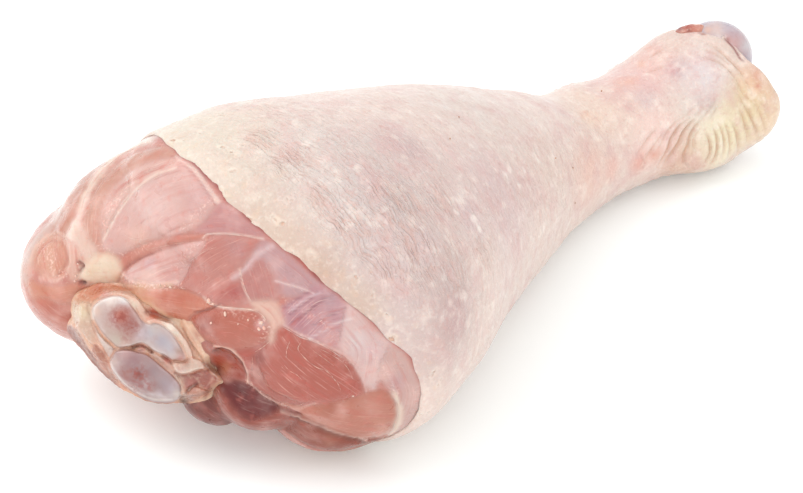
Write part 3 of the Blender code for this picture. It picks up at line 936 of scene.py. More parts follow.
# The meat stands level with the skin's cut edge and runs on below the skin.
reach = bare
for settling in range(4):
    bare_points = MEAT_MIDDLE + rays * reach[..., None]
    ray_angle = leg_angle(bare_points)
    past_edge = bare_points[..., 0] - skin_edge_x(ray_angle)
    beyond = np.maximum(-past_edge, 0)
    snug = under + 2.4 - 0.30 * beyond - 40 * smooth_step(beyond, 9, 22)
    reach = np.maximum(bare, snug) + 2.0 * np.log1p(np.exp(-np.abs(bare - snug) / 2.0))
    flush = smooth_step(past_edge, -2.6, -0.8)
    lip_level = MEAT_INSET + 0.78 * SKIN_EDGE_PLUMP * edge_fatness(ray_angle) - 0.8 * SKIN_EDGE_THICKNESS
    turn = np.degrees(ray_angle) % 360
    lip_level += 0.6 * (1 - smooth_step(turn, 92, 112)) + 0.45 * smooth_step(turn, 160, 190)
    reach = reach * (1 - flush) + (under + lip_level) * flush
hidden = smooth_step(past_edge, 0.0, 1.6)
reach = reach * (1 - hidden) + np.minimum(reach, under) * hidden
cap = MEAT_MIDDLE + rays * reach[..., None] + LEG_SHIFT
pole = (MEAT_MIDDLE + np.array((-1, 0, 0)) * reach[0].mean() + LEG_SHIFT)[None]
last = cap[-1] - LEG_SHIFT
section = leg_section(last[:, 0])
last_across = (last[:, 1] - section[:, 0]) / section[:, 2]
last_upwards = (last[:, 2] - section[:, 1]) / section[:, 3]
last_angle = np.arctan2(last_upwards, last_across)
back_share = np.linspace(0, 1, MEAT_BACK_ROWS + 1)[1:, None]
back = leg_points(last[:, 0] + (MEAT_BACK_X - last[:, 0]) * back_share, last_angle, MEAT_INSET)
meat_points = np.concatenate((pole, cap.reshape(-1, 3), back.reshape(-1, 3), back[-1].mean(axis=0)[None]))
meat_faces = closed_faces(MEAT_ROWS + MEAT_BACK_ROWS, MEAT_COLUMNS)
meat_base = new_piece("meat_base", meat_points, meat_faces)
meat_surface = surface_tree(meat_base)
normals = np.zeros(len(meat_points) * 3)
meat_base.data.vertices.foreach_get("normal", normals)
normals = normals.reshape(-1, 3)
bpy.data.objects.remove(meat_base, do_unlink=True)


def inside_outline(pixels, outline):
    """Distance from each place to a closed outline in pixels, positive inside it."""
    ring = np.concatenate((outline, outline[:1]))
    distance = np.abs(along_line(pixels, ring)[1])
    within = np.zeros(len(pixels), bool)
    for start, stop in zip(ring[:-1], ring[1:]):
        crosses = (start[1] > pixels[:, 1]) != (stop[1] > pixels[:, 1])
        rise = stop[1] - start[1] if stop[1] != start[1] else 1.0
        reach_x = start[0] + (pixels[:, 1] - start[1]) / rise * (stop[0] - start[0])
        within ^= crosses & (pixels[:, 0] < reach_x)
    return np.where(within, distance, -distance)


# The muscles as the photograph shows them, the lower ones first: tone, how sharp the furrow
# round each is, how far it bulges in millimetres, how coarse its grain is, the line that its
# fibres follow, and its outline.
PATCHES = (
    # Red ground between the muscles.
    ("#C98275", 0, 0.0, 0.6, ((40, 300), (220, 300), (380, 400)), ((10, 120), (230, 120), (430, 340),
     (430, 460), (200, 460), (10, 330))),
    # Underside of the left muscle.
    ("#CF8970", 0.25, 0.6, 0.8, ((30, 290), (50, 305), (78, 300)), ((24, 276), (40, 284), (60, 286),
     (84, 282), (78, 300), (74, 320), (70, 330), (55, 318), (38, 306), (28, 292))),
    # Deep red under the left muscle.
    ("#C7735E", 0.2, 0.3, 0.8, ((36, 302), (55, 318), (72, 325)), ((34, 300), (48, 298), (60, 304),
     (74, 306), (74, 330), (60, 324), (42, 314))),
    # Pale outer strip.
    ("#D4B0A4", 0.1, 0.5, 0.6, ((150, 138), (98, 163), (62, 204), (30, 262)), ((154, 134), (120, 144),
     (96, 160), (74, 180), (60, 202), (48, 222), (32, 240), (22, 258), (20, 274), (27, 282), (33, 268),
     (38, 250), (52, 234), (62, 222), (70, 206), (86, 184), (104, 164), (126, 149), (152, 141))),
    # Orange strip.
    ("#C4816A", 0.2, 0.5, 1.0, ((104, 166), (78, 196), (56, 234)), ((106, 166), (90, 176), (78, 192),
     (66, 208), (58, 222), (52, 234), (62, 236), (70, 226), (80, 208), (92, 190), (106, 174))),
    # Tan band.
    ("#CE9784", 0.25, 0.9, 1.0, ((166, 148), (118, 174), (96, 204), (92, 240)), ((166, 146), (144, 150),
     (122, 160), (106, 175), (94, 192), (85, 212), (82, 230), (87, 243), (97, 249), (103, 242), (101, 225),
     (104, 206), (112, 190), (124, 177), (142, 166), (160, 158), (176, 156))),
    # Streaky pink strip.
    ("#DEB1A5", 0.1, 0.5, 1.6, ((176, 160), (126, 184), (106, 212), (102, 244)), ((178, 158), (156, 160),
     (136, 168), (120, 180), (108, 196), (102, 214), (101, 232), (102, 248), (110, 244), (116, 224),
     (124, 208), (134, 194), (150, 180), (176, 168))),
    # Big pale muscle.
    ("#D9ABA2", 0.3, 1.6, 0.35, ((196, 172), (160, 184), (128, 208), (108, 244)), ((196, 166), (176, 168),
     (154, 178), (136, 190), (122, 208), (110, 226), (103, 246), (116, 254), (134, 250), (158, 240),
     (180, 234), (198, 228), (212, 216), (222, 204), (208, 184))),
    # Mauve upper muscle.
    ("#C68D8A", 0.15, 0.9, 0.6, ((264, 238), (230, 224), (200, 224)), ((222, 202), (246, 218), (266, 238),
     (236, 235), (204, 235), (194, 232), (208, 218))),
    # Middle muscle.
    ("#C27F74", 0.15, 1.3, 0.7, ((262, 244), (222, 262), (180, 290)), ((204, 236), (236, 235), (264, 241),
     (254, 254), (243, 266), (241, 284), (248, 303), (222, 304), (198, 300), (172, 290), (170, 276),
     (186, 262), (198, 246))),
    # Glossy pale muscle.
    ("#DBAAA2", 0.4, 0.9, 0.7, ((204, 242), (164, 256), (122, 276)), ((204, 240), (182, 244), (158, 252),
     (138, 260), (124, 268), (122, 278), (134, 284), (156, 286), (176, 286), (186, 276), (192, 262),
     (202, 250))),
    # Red cord under the big muscle.
    ("#C97F6E", 0.4, 0.7, 0.3, ((206, 236), (166, 240), (138, 252), (118, 272)), ((206, 234), (186, 234),
     (164, 238), (142, 244), (126, 254), (118, 264), (117, 278), (124, 280), (128, 268), (140, 258),
     (158, 249), (180, 243), (206, 239))),
    # Small muscle by the cut.
    ("#C0817A", 0.2, 0.8, 0.8, ((258, 256), (266, 280), (272, 304)), ((256, 256), (268, 260), (278, 278),
     (281, 296), (272, 304), (254, 306), (246, 300), (241, 284), (244, 268))),
    # Lavender sheath.
    ("#C29798", 0.1, 0.6, 0.8, ((268, 246), (296, 268), (322, 290)), ((264, 240), (282, 250), (304, 268),
     (324, 288), (304, 296), (284, 296), (276, 276), (264, 260), (254, 254))),
    # Lilac membrane.
    ("#C08D92", 0.2, 0.7, 1.3, ((340, 290), (312, 296), (284, 322)), ((318, 284), (340, 298), (358, 316),
     (352, 334), (340, 348), (320, 342), (300, 336), (284, 325), (279, 312), (288, 302), (300, 296))),
    # Pale end of the membrane.
    ("#DBB7B2", 0.05, 0.7, 1.0, ((350, 310), (376, 344), (372, 386)), ((350, 304), (374, 328), (396, 346),
     (392, 362), (382, 374), (374, 390), (362, 382), (352, 362), (340, 348), (342, 326))),
    # Orange muscle over the joint.
    ("#C8785F", 0.3, 0.9, 0.6, ((84, 288), (140, 294), (206, 306)), ((82, 284), (104, 284), (130, 285),
     (156, 288), (180, 288), (204, 298), (214, 308), (200, 316), (190, 324), (174, 322), (154, 310),
     (136, 300), (114, 292), (94, 292), (82, 298))),
    # Lower red muscle.
    ("#B55E4F", 0.3, 1.4, 1.4, ((268, 330), (300, 366), (350, 402)), ((276, 330), (288, 328), (308, 340),
     (332, 350), (350, 362), (361, 380), (363, 398), (346, 402), (320, 403), (296, 407), (270, 398),
     (256, 384), (249, 366), (254, 352), (268, 342))),
    # Pink rim of the lower muscle.
    ("#AE6053", 0.25, 0.6, 0.8, ((246, 354), (258, 386), (300, 406)), ((244, 352), (254, 352), (262, 372),
     (274, 390), (296, 400), (304, 406), (288, 408), (270, 402), (254, 388), (246, 372))),
    # Bottom tan muscle, where it meets the floor: its dark brown is partly painted shade.
    ("#93442F", 1.0, 1.2, 0.5, ((288, 424), (330, 444), (380, 440)), ((300, 414), (330, 428), (362, 438),
     (386, 438), (362, 446), (340, 451), (316, 449), (296, 440), (284, 428))),
    # Lower lobe.
    ("#BE745F", 0.7, 1.5, 0.7, ((284, 404), (330, 424), (392, 432)), ((282, 402), (304, 406), (336, 402),
     (362, 394), (384, 390), (396, 402), (396, 418), (388, 434), (366, 439), (340, 433), (314, 422),
     (296, 412))),
    # Pink purple end.
    ("#CFA69E", 0.2, 0.9, 0.7, ((394, 346), (414, 392), (400, 434)), ((392, 344), (410, 362), (421, 386),
     (424, 404), (414, 424), (400, 434), (388, 436), (397, 416), (394, 398), (384, 384), (378, 372))),
    # Left dark muscle, its maroon partly painted shade low under the joint.
    ("#7D372D", 0.9, 0.8, 0.6, ((188, 402), (214, 424), (250, 432)), ((186, 398), (208, 390), (218, 400),
     (228, 418), (252, 430), (240, 436), (218, 432), (198, 420), (184, 408))),
    # Rim of the dark muscle, its dark red partly painted shade.
    ("#994C3C", 0.8, 1.2, 0.8, ((206, 384), (236, 420), (296, 422)), ((206, 380), (218, 376), (246, 382),
     (266, 394), (284, 406), (300, 414), (288, 428), (262, 432), (238, 426), (220, 412), (212, 398))),
    # Dark muscle, its near-black maroon partly painted shade in the hollow under the joint.
    ("#6B0F0D", 0.3, -0.9, 0.9, ((222, 386), (250, 402), (280, 412)), ((220, 381), (244, 382), (262, 393),
     (278, 407), (268, 414), (250, 419), (236, 410), (226, 396))),
    # Oval muscle.
    ("#B96856", 0.5, 1.6, 0.5, ((190, 326), (232, 316), (274, 334)), ((190, 318), (202, 311), (218, 306),
     (240, 308), (258, 312), (271, 322), (272, 336), (258, 346), (236, 350), (216, 346), (202, 338),
     (193, 328))),
    # Pink flesh under the oval muscle.
    ("#B25547", 0.25, 0.6, 1.0, ((216, 348), (240, 352), (268, 344)), ((216, 347), (236, 350), (258, 346),
     (272, 338), (276, 332), (262, 350), (252, 360), (252, 376), (246, 382), (242, 362), (230, 352))),
    # Cream tissue by the joint.
    ("#B27266", 0.35, 0.7, 0.9, ((186, 322), (206, 352), (228, 380)), ((184, 322), (192, 324), (202, 338),
     (214, 347), (212, 358), (220, 370), (232, 380), (222, 382), (210, 372), (198, 352), (186, 336))),
    # Pocket, its dark orange partly painted shade in the hollow.
    ("#A54028", 0.6, -1.9, 0.2, ((214, 350), (246, 376)), ((216, 349), (228, 350), (238, 358), (245, 369),
     (246, 378), (238, 379), (226, 374), (216, 366), (212, 357))),
    # Cut end of the left muscle.
    ("#D99F87", 0.25, 0.9, 1.2, ((46, 236), (52, 282)), ((36, 250), (46, 238), (58, 235), (67, 243),
     (69, 256), (67, 268), (60, 278), (48, 279), (38, 272), (33, 262))),
    # Soft pink beside the fat.
    ("#DCA997", 0.1, 0.5, 1.2, ((74, 240), (78, 280)), ((70, 240), (80, 242), (86, 252), (84, 268),
     (80, 280), (70, 280), (68, 262))),
    # Star of white sheath.
    ("#E1BEAE", 0.05, 0.5, 0.6, ((76, 222), (84, 262)), ((72, 222), (80, 222), (90, 240), (98, 250),
     (96, 262), (86, 270), (82, 256), (76, 244), (66, 236))),
    # Fat pad.
    ("#EDD1B9", 0.0, 0.7, 0.3, ((86, 270), (122, 270)), ((88, 262), (96, 255), (108, 253), (118, 259),
     (122, 270), (120, 280), (108, 284), (92, 283), (82, 280), (80, 272))),
    # Flesh under the joint.
    ("#B27F70", 0, -6.0, 0.3, ((80, 310), (160, 380)), ((82, 304), (100, 296), (124, 296), (146, 306),
     (170, 318), (190, 334), (202, 356), (206, 374), (196, 390), (176, 396), (150, 394), (126, 382),
     (106, 364), (90, 344), (80, 324))),
    # Fat corner.
    ("#E2B8A8", 0.1, 0.6, 1.0, ((252, 302), (272, 318), (272, 340)), ((250, 303), (262, 300), (276, 302),
     (282, 314), (285, 323), (277, 329), (274, 342), (268, 342), (270, 326), (262, 315))),
)

# Lines on the meat: pale ones are sheaths that stand up a little, and the bright rim of the glossy muscle is
# partly a painted highlight; dark ones are furrows, darkened with painted shade, darkest in the cleft, the
# hole and the pocket's mouth. Each has a tone, a strength, half a width in pixels, a rise in millimetres and
# its course.
LINES = (
    # White band of the strips.
    ("#F2D8C8", 0.95, 3.4, 0.35, ((150, 141), (128, 149), (110, 163), (96, 180), (85, 200), (79, 218),
     (72, 236))),
    # White line of the big muscle.
    ("#F4DACB", 0.8, 1.3, 0.15, ((176, 168), (154, 176), (135, 191), (118, 214), (104, 240))),
    # White edge by the skin.
    ("#F3D9CC", 0.8, 1.8, 0.3, ((176, 158), (194, 170), (207, 186), (218, 202))),
    # Curl on the big muscle.
    ("#B9736A", 0.6, 0.8, -0.15, ((144, 223), (151, 218), (161, 215))),
    # Curl on the big muscle.
    ("#B8726A", 0.6, 0.9, -0.15, ((163, 236), (171, 231), (181, 227))),
    # Curl on the big muscle.
    ("#BE7A70", 0.5, 0.8, -0.15, ((156, 180), (168, 175), (182, 171))),
    # Furrow by the skin.
    ("#B76F68", 0.6, 1.2, -0.2, ((172, 156), (192, 172), (205, 189), (216, 206))),
    # Fold of the big muscle.
    ("#D59C90", 0.6, 1.2, -0.2, ((201, 220), (175, 229), (158, 238), (136, 247))),
    # White line above the middle muscle.
    ("#EDC9BF", 0.8, 1.1, 0.2, ((203, 238), (210, 234), (236, 234), (264, 239))),
    # Bright rim of the glossy muscle, partly a painted highlight.
    ("#F0C9BE", 0.7, 1.6, 0.2, ((122, 272), (134, 282), (156, 284), (178, 282))),
    # Red furrow round the glossy muscle.
    ("#B2604F", 0.7, 1.5, -0.3, ((118, 282), (124, 270), (140, 259), (160, 250))),
    # Bright streak by the cut.
    ("#DDBEBD", 0.75, 3.5, 0.2, ((272, 246), (256, 256), (246, 268), (234, 278))),
    # White line down the small muscle.
    ("#F0CFC2", 0.65, 0.9, 0.15, ((240, 268), (243, 284), (250, 301))),
    # White line over the oval muscle.
    ("#F3D2C2", 0.6, 1.4, 0.15, ((205, 297), (209, 302), (222, 307), (240, 309), (256, 310))),
    # Sheath under the membrane.
    ("#E3C2C0", 0.8, 1.4, 0.15, ((276, 281), (296, 286), (314, 293))),
    # Lower border of the membrane.
    ("#E2BDB6", 0.7, 1.3, 0.25, ((284, 325), (300, 334), (322, 344), (346, 356), (362, 378), (366, 392))),
    # Purple streak.
    ("#8F5B69", 0.55, 1.3, -0.15, ((318, 292), (304, 304), (290, 314))),
    # Wrinkle of the membrane.
    ("#7E4A58", 0.45, 1.2, -0.2, ((336, 292), (320, 302), (306, 313), (291, 323))),
    # Wrinkle of the membrane.
    ("#85505E", 0.4, 1.2, -0.2, ((346, 308), (330, 315), (312, 326))),
    # Ridge of the membrane.
    ("#EAD5D8", 0.45, 1.2, 0.15, ((320, 292), (306, 299), (290, 311))),
    # Ridge of the membrane.
    ("#F0DFDF", 0.45, 1.3, 0.15, ((352, 318), (338, 322), (322, 331), (310, 338))),
    # Purple streak.
    ("#95606C", 0.5, 1.0, -0.12, ((312, 290), (296, 300), (284, 308))),
    # Purple streak.
    ("#9A6670", 0.45, 1.1, -0.12, ((326, 296), (312, 308), (296, 322))),
    # Cream fold at the end.
    ("#E9D3C2", 0.9, 3.2, 0.5, ((394, 392), (399, 404), (399, 418), (391, 434))),
    # White edge of the lower lobe.
    ("#E7C2B3", 0.7, 1.2, 0.2, ((282, 410), (306, 420), (334, 432), (366, 440))),
    # White edge of the lower muscle.
    ("#E2B5A8", 0.6, 1.3, 0.15, ((246, 378), (258, 391), (274, 401), (296, 408), (316, 403))),
    # Dark furrow under the lower muscle, painted shade.
    ("#7A3A30", 0.7, 1.5, -0.5, ((252, 388), (266, 400), (284, 410), (300, 414))),
    # Dark furrow under the lobe, painted shade.
    ("#7D4030", 0.75, 1.6, -0.5, ((292, 416), (312, 424), (336, 434), (364, 442))),
    # Dark mouth of the pocket, painted shade.
    ("#6E2A18", 0.85, 2.4, -0.3, ((214, 352), (222, 350), (232, 354), (240, 362), (245, 372))),
    # Dark root of the pocket, painted shade.
    ("#8A3A22", 0.6, 3.0, -0.2, ((216, 354), (224, 356), (232, 362))),
    # Rim of the pocket.
    ("#EBC6B4", 0.8, 1.2, 0.4, ((214, 346), (230, 348), (242, 360), (248, 374), (248, 382))),
    # Furrow round the oval muscle.
    ("#8E4638", 0.55, 1.2, -0.3, ((196, 312), (208, 310), (220, 304))),
    # Furrow of the oval muscle.
    ("#A4564A", 0.5, 1.4, -0.3, ((190, 322), (198, 336), (212, 347))),
    # Ring of the cut end.
    ("#F0C8B6", 0.6, 1.4, 0.2, ((31, 262), (36, 248), (48, 236), (60, 233), (69, 244), (71, 258),
     (67, 272), (56, 281), (40, 278))),
    # Red ring of the cut end.
    ("#BE6D5B", 0.5, 1.2, -0.3, ((36, 264), (40, 252), (50, 242), (60, 241), (66, 250), (66, 264),
     (56, 276), (44, 272))),
    # Dark cleft, painted shade.
    ("#7D3324", 0.85, 1.8, -0.6, ((79, 262), (83, 266), (80, 271))),
    # Dark hole, painted shade.
    ("#4F1A10", 0.95, 2.0, -0.8, ((80, 283), (85, 283))),
    # Orange shade by the joint.
    ("#B75F3E", 0.8, 3.0, -0.5, ((84, 291), (92, 289), (100, 287), (106, 289))),
    # Pale fringe of the orange muscle.
    ("#E5B79B", 0.8, 2.2, 0.2, ((96, 284), (124, 285), (152, 287), (172, 285))),
    # Ligament over the joint.
    ("#E4B596", 0.85, 2.6, 0.3, ((108, 288), (130, 292), (150, 304), (172, 318), (190, 330))),
)

# Softer stains of colour on the meat: tone, pixel, reach in pixels, strength. The pale ones on the big
# muscle's bulge at (160, 206) and on the glossy muscle at (150, 274) and (136, 272) are painted highlights;
# the dark ones in the pocket at (226, 362) and low under the joint at (240, 390) and (258, 408) are painted
# shade.
STAINS = (
    ("#F6E3D1", (104, 262), 5, 0.5), ("#DBB18C", (92, 271), 5, 0.5), ("#EAB99E", (117, 275), 5, 0.6),
    ("#E3B39B", (86, 262), 4, 0.5), ("#F9D5BB", (100, 279), 5, 0.4), ("#E7C3BC", (160, 206), 20, 0.8),
    ("#CA9C9A", (200, 196), 12, 0.6), ("#D2A19E", (196, 212), 8, 0.5), ("#E6B4A1", (140, 238), 12, 0.5),
    ("#DDA8A3", (170, 225), 10, 0.4), ("#F5C0B8", (182, 164), 7, 0.5), ("#A45646", (150, 150), 5, 0.3),
    ("#BC6F66", (222, 296), 10, 0.8), ("#B35755", (236, 292), 8, 0.7), ("#C69493", (240, 250), 9, 0.6),
    ("#BC8885", (232, 244), 8, 0.4), ("#CB786A", (200, 280), 9, 0.4), ("#E2BEB3", (150, 274), 9, 0.9),
    ("#E6C5BF", (136, 272), 6, 0.6), ("#D4B0B7", (150, 264), 6, 0.5), ("#822119", (208, 324), 9, 0.5),
    ("#C07867", (246, 340), 10, 0.4), ("#E9C4C1", (262, 324), 5, 0.8), ("#73110D", (262, 356), 7, 0.6),
    ("#B96354", (330, 372), 10, 0.5), ("#BA6963", (280, 346), 8, 0.3), ("#AE8B91", (330, 300), 8, 0.6),
    ("#E6D8D7", (356, 340), 10, 0.6), ("#B2717C", (300, 322), 8, 0.5), ("#D79E97", (330, 338), 8, 0.5),
    ("#E5C1C2", (372, 350), 9, 0.5), ("#C4989B", (396, 380), 9, 0.6), ("#D9A192", (370, 404), 12, 0.5),
    ("#A15541", (330, 408), 8, 0.4), ("#D0917B", (380, 424), 8, 0.5), ("#550707", (240, 390), 7, 0.6),
    ("#781F1D", (258, 408), 5, 0.5), ("#B78068", (330, 440), 6, 0.4), ("#8C291C", (226, 362), 4, 0.6),
    ("#CF8C70", (224, 370), 5, 0.6), ("#D99D74", (150, 300), 8, 0.5), ("#CA7C66", (176, 300), 12, 0.5),
    ("#D19D76", (140, 290), 8, 0.6), ("#E7CEB4", (104, 266), 8, 0.6), ("#E2AF9D", (52, 258), 8, 0.5),
    ("#C6735C", (40, 268), 5, 0.6), ("#ECB19E", (30, 270), 6, 0.5), ("#AA503F", (56, 310), 9, 0.5),
    ("#BD6458", (62, 300), 5, 0.3),
)
MEAT_DARKEN = 0.72

# Where a sheath was torn away and left the flesh rough, and where pale grains of painted sparkle stand for
# the glints along edges that catch the light: strength, half width in pixels, and the line.
TORN_AND_SPARKLE = (
    (0.9, 4, ((122, 276), (134, 283), (150, 286), (166, 287), (182, 286))),
    (0.7, 6, ((176, 268), (186, 260), (192, 250), (204, 244))),
    (0.7, 5, ((184, 228), (196, 218), (206, 208), (214, 200))),
    (0.8, 8, ((44, 248), (52, 258), (56, 268), (62, 276))),
    (0.8, 5, ((106, 226), (110, 212), (118, 200), (126, 190))),
    (0.6, 3, ((176, 158), (194, 170), (207, 186), (217, 202))),
    (0.6, 4, ((100, 246), (116, 254), (134, 252), (156, 242))),
    (0.8, 5, ((258, 318), (268, 326), (264, 338))),
    (0.6, 4, ((246, 381), (256, 389), (266, 397), (280, 404))),
    (0.5, 4, ((290, 330), (312, 340), (330, 350), (348, 362))),
    (0.5, 5, ((284, 300), (300, 306), (316, 318), (330, 330))),
    (0.6, 5, ((370, 350), (384, 370), (396, 392))),
    (0.5, 6, ((206, 300), (230, 312), (256, 316))),
)

view = meat_points - camera_place
facing = -((normals * view).sum(axis=1)) / np.linalg.norm(view, axis=1)
shown = smooth_step(facing, 0.0, 0.14)
pixels = photo_pixels(meat_points)
place = meat_points - LEG_SHIFT

# The far side first: each point belongs to the muscle that reaches furthest there.
TOP_MUSCLE = 2
owner = np.full(len(meat_points), TOP_MUSCLE)
on_cap = slice(1, 1 + MEAT_ROWS * MEAT_COLUMNS)
owner[on_cap] = reaches[:len(MUSCLES)].argmax(axis=0).ravel()
tones = np.stack([linear(tone) for tone, *shape in MUSCLES])
far_tone = tones[owner]
ordered = np.sort(reaches[:len(MUSCLES)], axis=0)
seam = np.zeros(len(meat_points))
seam[on_cap] = bell(ordered[-1] - ordered[-2], 0.9).ravel()
fibre = np.zeros_like(meat_points)
for index, (tone, centre, half_sizes, angles) in enumerate(MUSCLES):
    chosen = owner == index
    fibre[chosen] = (place[chosen] - np.array(centre)) @ turned(angles) + index * 40
far_fibre = fibre.copy()

# Then the near side, each patch laid over the ones before it. The fibres of every muscle take
# their pattern from a place of its own.
FIBRE_LANES_APART = 90.0
near_tone = np.tile(linear("#C98275"), (len(meat_points), 1))
near_height = np.zeros(len(meat_points))
near_fibre = np.zeros_like(meat_points)
grain = np.full(len(meat_points), 0.8)
for index, (tone, border, bulge, coarse, guide, outline) in enumerate(PATCHES):
    outline = smooth_line(outline, closed=True)
    close = near_line(pixels, outline, 8, shown > 0)
    within = inside_outline(pixels[close], outline)
    soft = max(5.5 - 6.0 * border, 1.4)
    covers = smooth_step(within, -soft, soft)
    near_tone[close] = lay(near_tone[close], tone, covers)
    rise = min(bulge, 0.65 * bulge + 0.1) * (1 - np.exp(-np.maximum(within, 0) / 7))
    rise -= 0.3 * border * bell(within, 1.8)
    near_height[close] = near_height[close] * (1 - covers) + rise * np.where(within > 0, 1, covers)
    forth, aside = along_line(pixels[close], smooth_line(guide))
    mine = within > 0
    chosen = close[mine]
    lane = np.stack((forth[mine], aside[mine], np.full(mine.sum(), FIBRE_LANES_APART * index)), axis=-1)
    near_fibre[chosen] = lane * PIXEL_SIZE
    grain[chosen] = coarse * smooth_step(within[mine], 0, 8)
for tone, strength, half_width, rise, line in LINES:
    line = smooth_line(line)
    close = near_line(pixels, line, 12, shown > 0)
    forth, aside = along_line(pixels[close], line)
    uneven = 1 + 0.3 * np.sin(forth * 0.31 + 2.0) * np.sin(forth * 0.13)
    covers = bell(aside, half_width * uneven)
    near_tone[close] = lay(near_tone[close], tone, strength * covers)
    near_height[close] += rise * covers
near_tone = paint(near_tone, pixels, STAINS, (), 1.0)

torn_and_sparkle = np.zeros(len(meat_points))
for strength, half_width, line in TORN_AND_SPARKLE:
    aside = along_line(pixels, smooth_line(line))[1]
    torn_and_sparkle = np.maximum(torn_and_sparkle, strength * shown * bell(aside, half_width))

meat_tone = far_tone + (near_tone - far_tone) * shown[:, None]
edge_turn = leg_angle(place)
past_edge = place[:, 0] - skin_edge_x(edge_turn)
# Painted shade: the meat is darkened red-brown just in front of the skin's cut edge, where the lip shades
# it, less from 160 to 190 degrees round the leg.
lip_shadow = 0.85 * smooth_step(past_edge, -1.2, -0.3)
lip_shadow *= 1 - 0.7 * smooth_step(np.degrees(edge_turn) % 360, 160, 190)
meat_tone = lay(meat_tone, "#8E2E26", lip_shadow) * MEAT_DARKEN
is_near = shown > 0.5
meat_values = {
    "tone": meat_tone,
    "fibre": np.where(is_near[:, None], near_fibre, far_fibre) * MM,
    "grain": np.where(is_near, grain, 0.9),
    "seam": np.where(is_near, 0, seam),
    "torn_and_sparkle": torn_and_sparkle,
}
covered = smooth_step(past_edge, -4.0, -0.3)
meat_height = (near_height * shown - 0.5 * seam * (1 - shown)) * (1 - covered)
meat_points = meat_points + normals * meat_height[:, None]
meat = new_piece("meat_and_muscles", meat_points, meat_faces, meat_values)

# Relief by nodes: fine ridges along the fibres and small soft lumps across them.
relief, given = new_geometry_tree("meat relief", {
    "Fibre width": 1.3 * MM,
    "Fibre length": 11.0 * MM,
    "Fibre height": 0.28 * MM,
    "Lump width": 4.0 * MM,
    "Lump height": 0.5 * MM,
})
lane = put(relief, "GeometryNodeInputNamedAttribute", {"Name": "fibre"}, data_type="FLOAT_VECTOR")
fibrous = put(relief, "GeometryNodeInputNamedAttribute", {"Name": "grain"}, data_type="FLOAT")
ridges = stretched_noise(relief, given, lane, "Fibre length", "Fibre width")
ridges = put(relief, "ShaderNodeMath", (ridges, 0.5), operation="SUBTRACT")
ridges = put(relief, "ShaderNodeMath", (ridges, given["Fibre height"]), operation="MULTIPLY")
height = layered(relief, 0.0, (
    (ridges, fibrous), (soft_hills(relief, given, "Lump width"), given["Lump height"])))
finish_tree(relief, given, raise_surface(relief, given, height))

# Wet raw muscle: deep rose, darker between the bundles of fibres, with fine pale threads and flecks of fat
# along them, rough where it is torn and flecked there with painted sparkle, under a clear shining film. On
# the far side the furrows where two muscles meet are darkened with painted shade.
red_meat, tree, shader = new_material("raw muscle", 0.34, 1.40, 0.30, 1.8, 0.55, 0.14)
space = put(tree, "ShaderNodeTexCoord").outputs["Object"]
flesh = put(tree, "ShaderNodeAttribute", attribute_name="tone").outputs["Color"]
lane = put(tree, "ShaderNodeAttribute", attribute_name="fibre").outputs["Vector"]
fibrous, between, torn_sparkle_mask = (
    put(tree, "ShaderNodeAttribute", attribute_name=label).outputs["Fac"]
    for label in ("grain", "seam", "torn_and_sparkle"))


def along_fibres(tree, lane, width_mm, length_mm, detail):
    """Noise that is drawn out along the fibres."""
    scaled = put(tree, "ShaderNodeMapping", {
        "Vector": lane, "Scale": (1 / (length_mm * MM), 1 / (width_mm * MM), 1 / (width_mm * MM))})
    return put(tree, "ShaderNodeTexNoise", {"Vector": scaled, "Scale": 1.0, "Detail": detail})


bundles = along_fibres(tree, lane, 1.4, 16.0, 2.0)
flesh = tint(tree, flesh, "#A84C40", bundles, 0.50, 0.30, 0.34, fibrous)
threads = along_fibres(tree, lane, 0.45, 9.0, 3.0)
flesh = tint(tree, flesh, "#F0C9BC", threads, 0.55, 0.78, 0.30, fibrous)
marbling = along_fibres(tree, lane, 0.8, 6.0, 3.0)
flesh = tint(tree, flesh, "#F2D5C8", marbling, 0.70, 0.80, 0.6, fibrous)
flesh = clouds(tree, flesh, "#E3BDB4", space, 9.0, 3.0, 0.48, 0.75, 0.30)
flesh = clouds(tree, flesh, "#C06A5E", space, 3.0, 3.0, 0.55, 0.80, 0.35)
# Painted shade: darker where two muscles meet, in the furrow between them.
seam_shade = put(tree, "ShaderNodeMath", (between, 0.25), operation="MULTIPLY")
flesh = put(tree, "ShaderNodeMix", {
    0: seam_shade, 6: flesh, 7: (*linear("#A04A3C"), 1.0)}, data_type="RGBA").outputs[2]
# Along the torn lines the flesh is rough in the bump and speckled pale with painted sparkle.
torn_sparkle_grains = patches(tree, space, 0.7, 3.0, 0.44, 0.74, 0.0, 1.0, torn_sparkle_mask)
flesh = tint(tree, flesh, "#F4D2C6", torn_sparkle_grains, 0.0, 1.0, 0.55)
tree.links.new(flesh, shader.inputs["Base Color"])
dullness = patches(tree, space, 4.0, 3.0, 0.35, 0.65, 0.26, 0.46)
tree.links.new(dullness.outputs[0], shader.inputs["Roughness"])
fine_grain = put(tree, "ShaderNodeTexNoise", {"Vector": space, "Scale": 1 / (0.9 * MM), "Detail": 3.0})
height = layered(tree, fine_grain, ((along_fibres(tree, lane, 0.5, 7.0, 3.0), fibrous), (torn_sparkle_grains, 0.8)))
bump = put(tree, "ShaderNodeBump", {"Strength": 0.6, "Distance": 0.22 * MM, "Height": height})
tree.links.new(bump.outputs[0], shader.inputs["Normal"])
film = put(tree, "ShaderNodeTexNoise", {"Vector": space, "Scale": 1 / (2.5 * MM), "Detail": 2.0})
ripple = put(tree, "ShaderNodeBump", {"Strength": 0.35, "Distance": 0.25 * MM, "Height": film})
tree.links.new(ripple.outputs[0], shader.inputs["Coat Normal"])
apply_tree(meat, relief, red_meat)
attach(meat, "root")
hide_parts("meat")

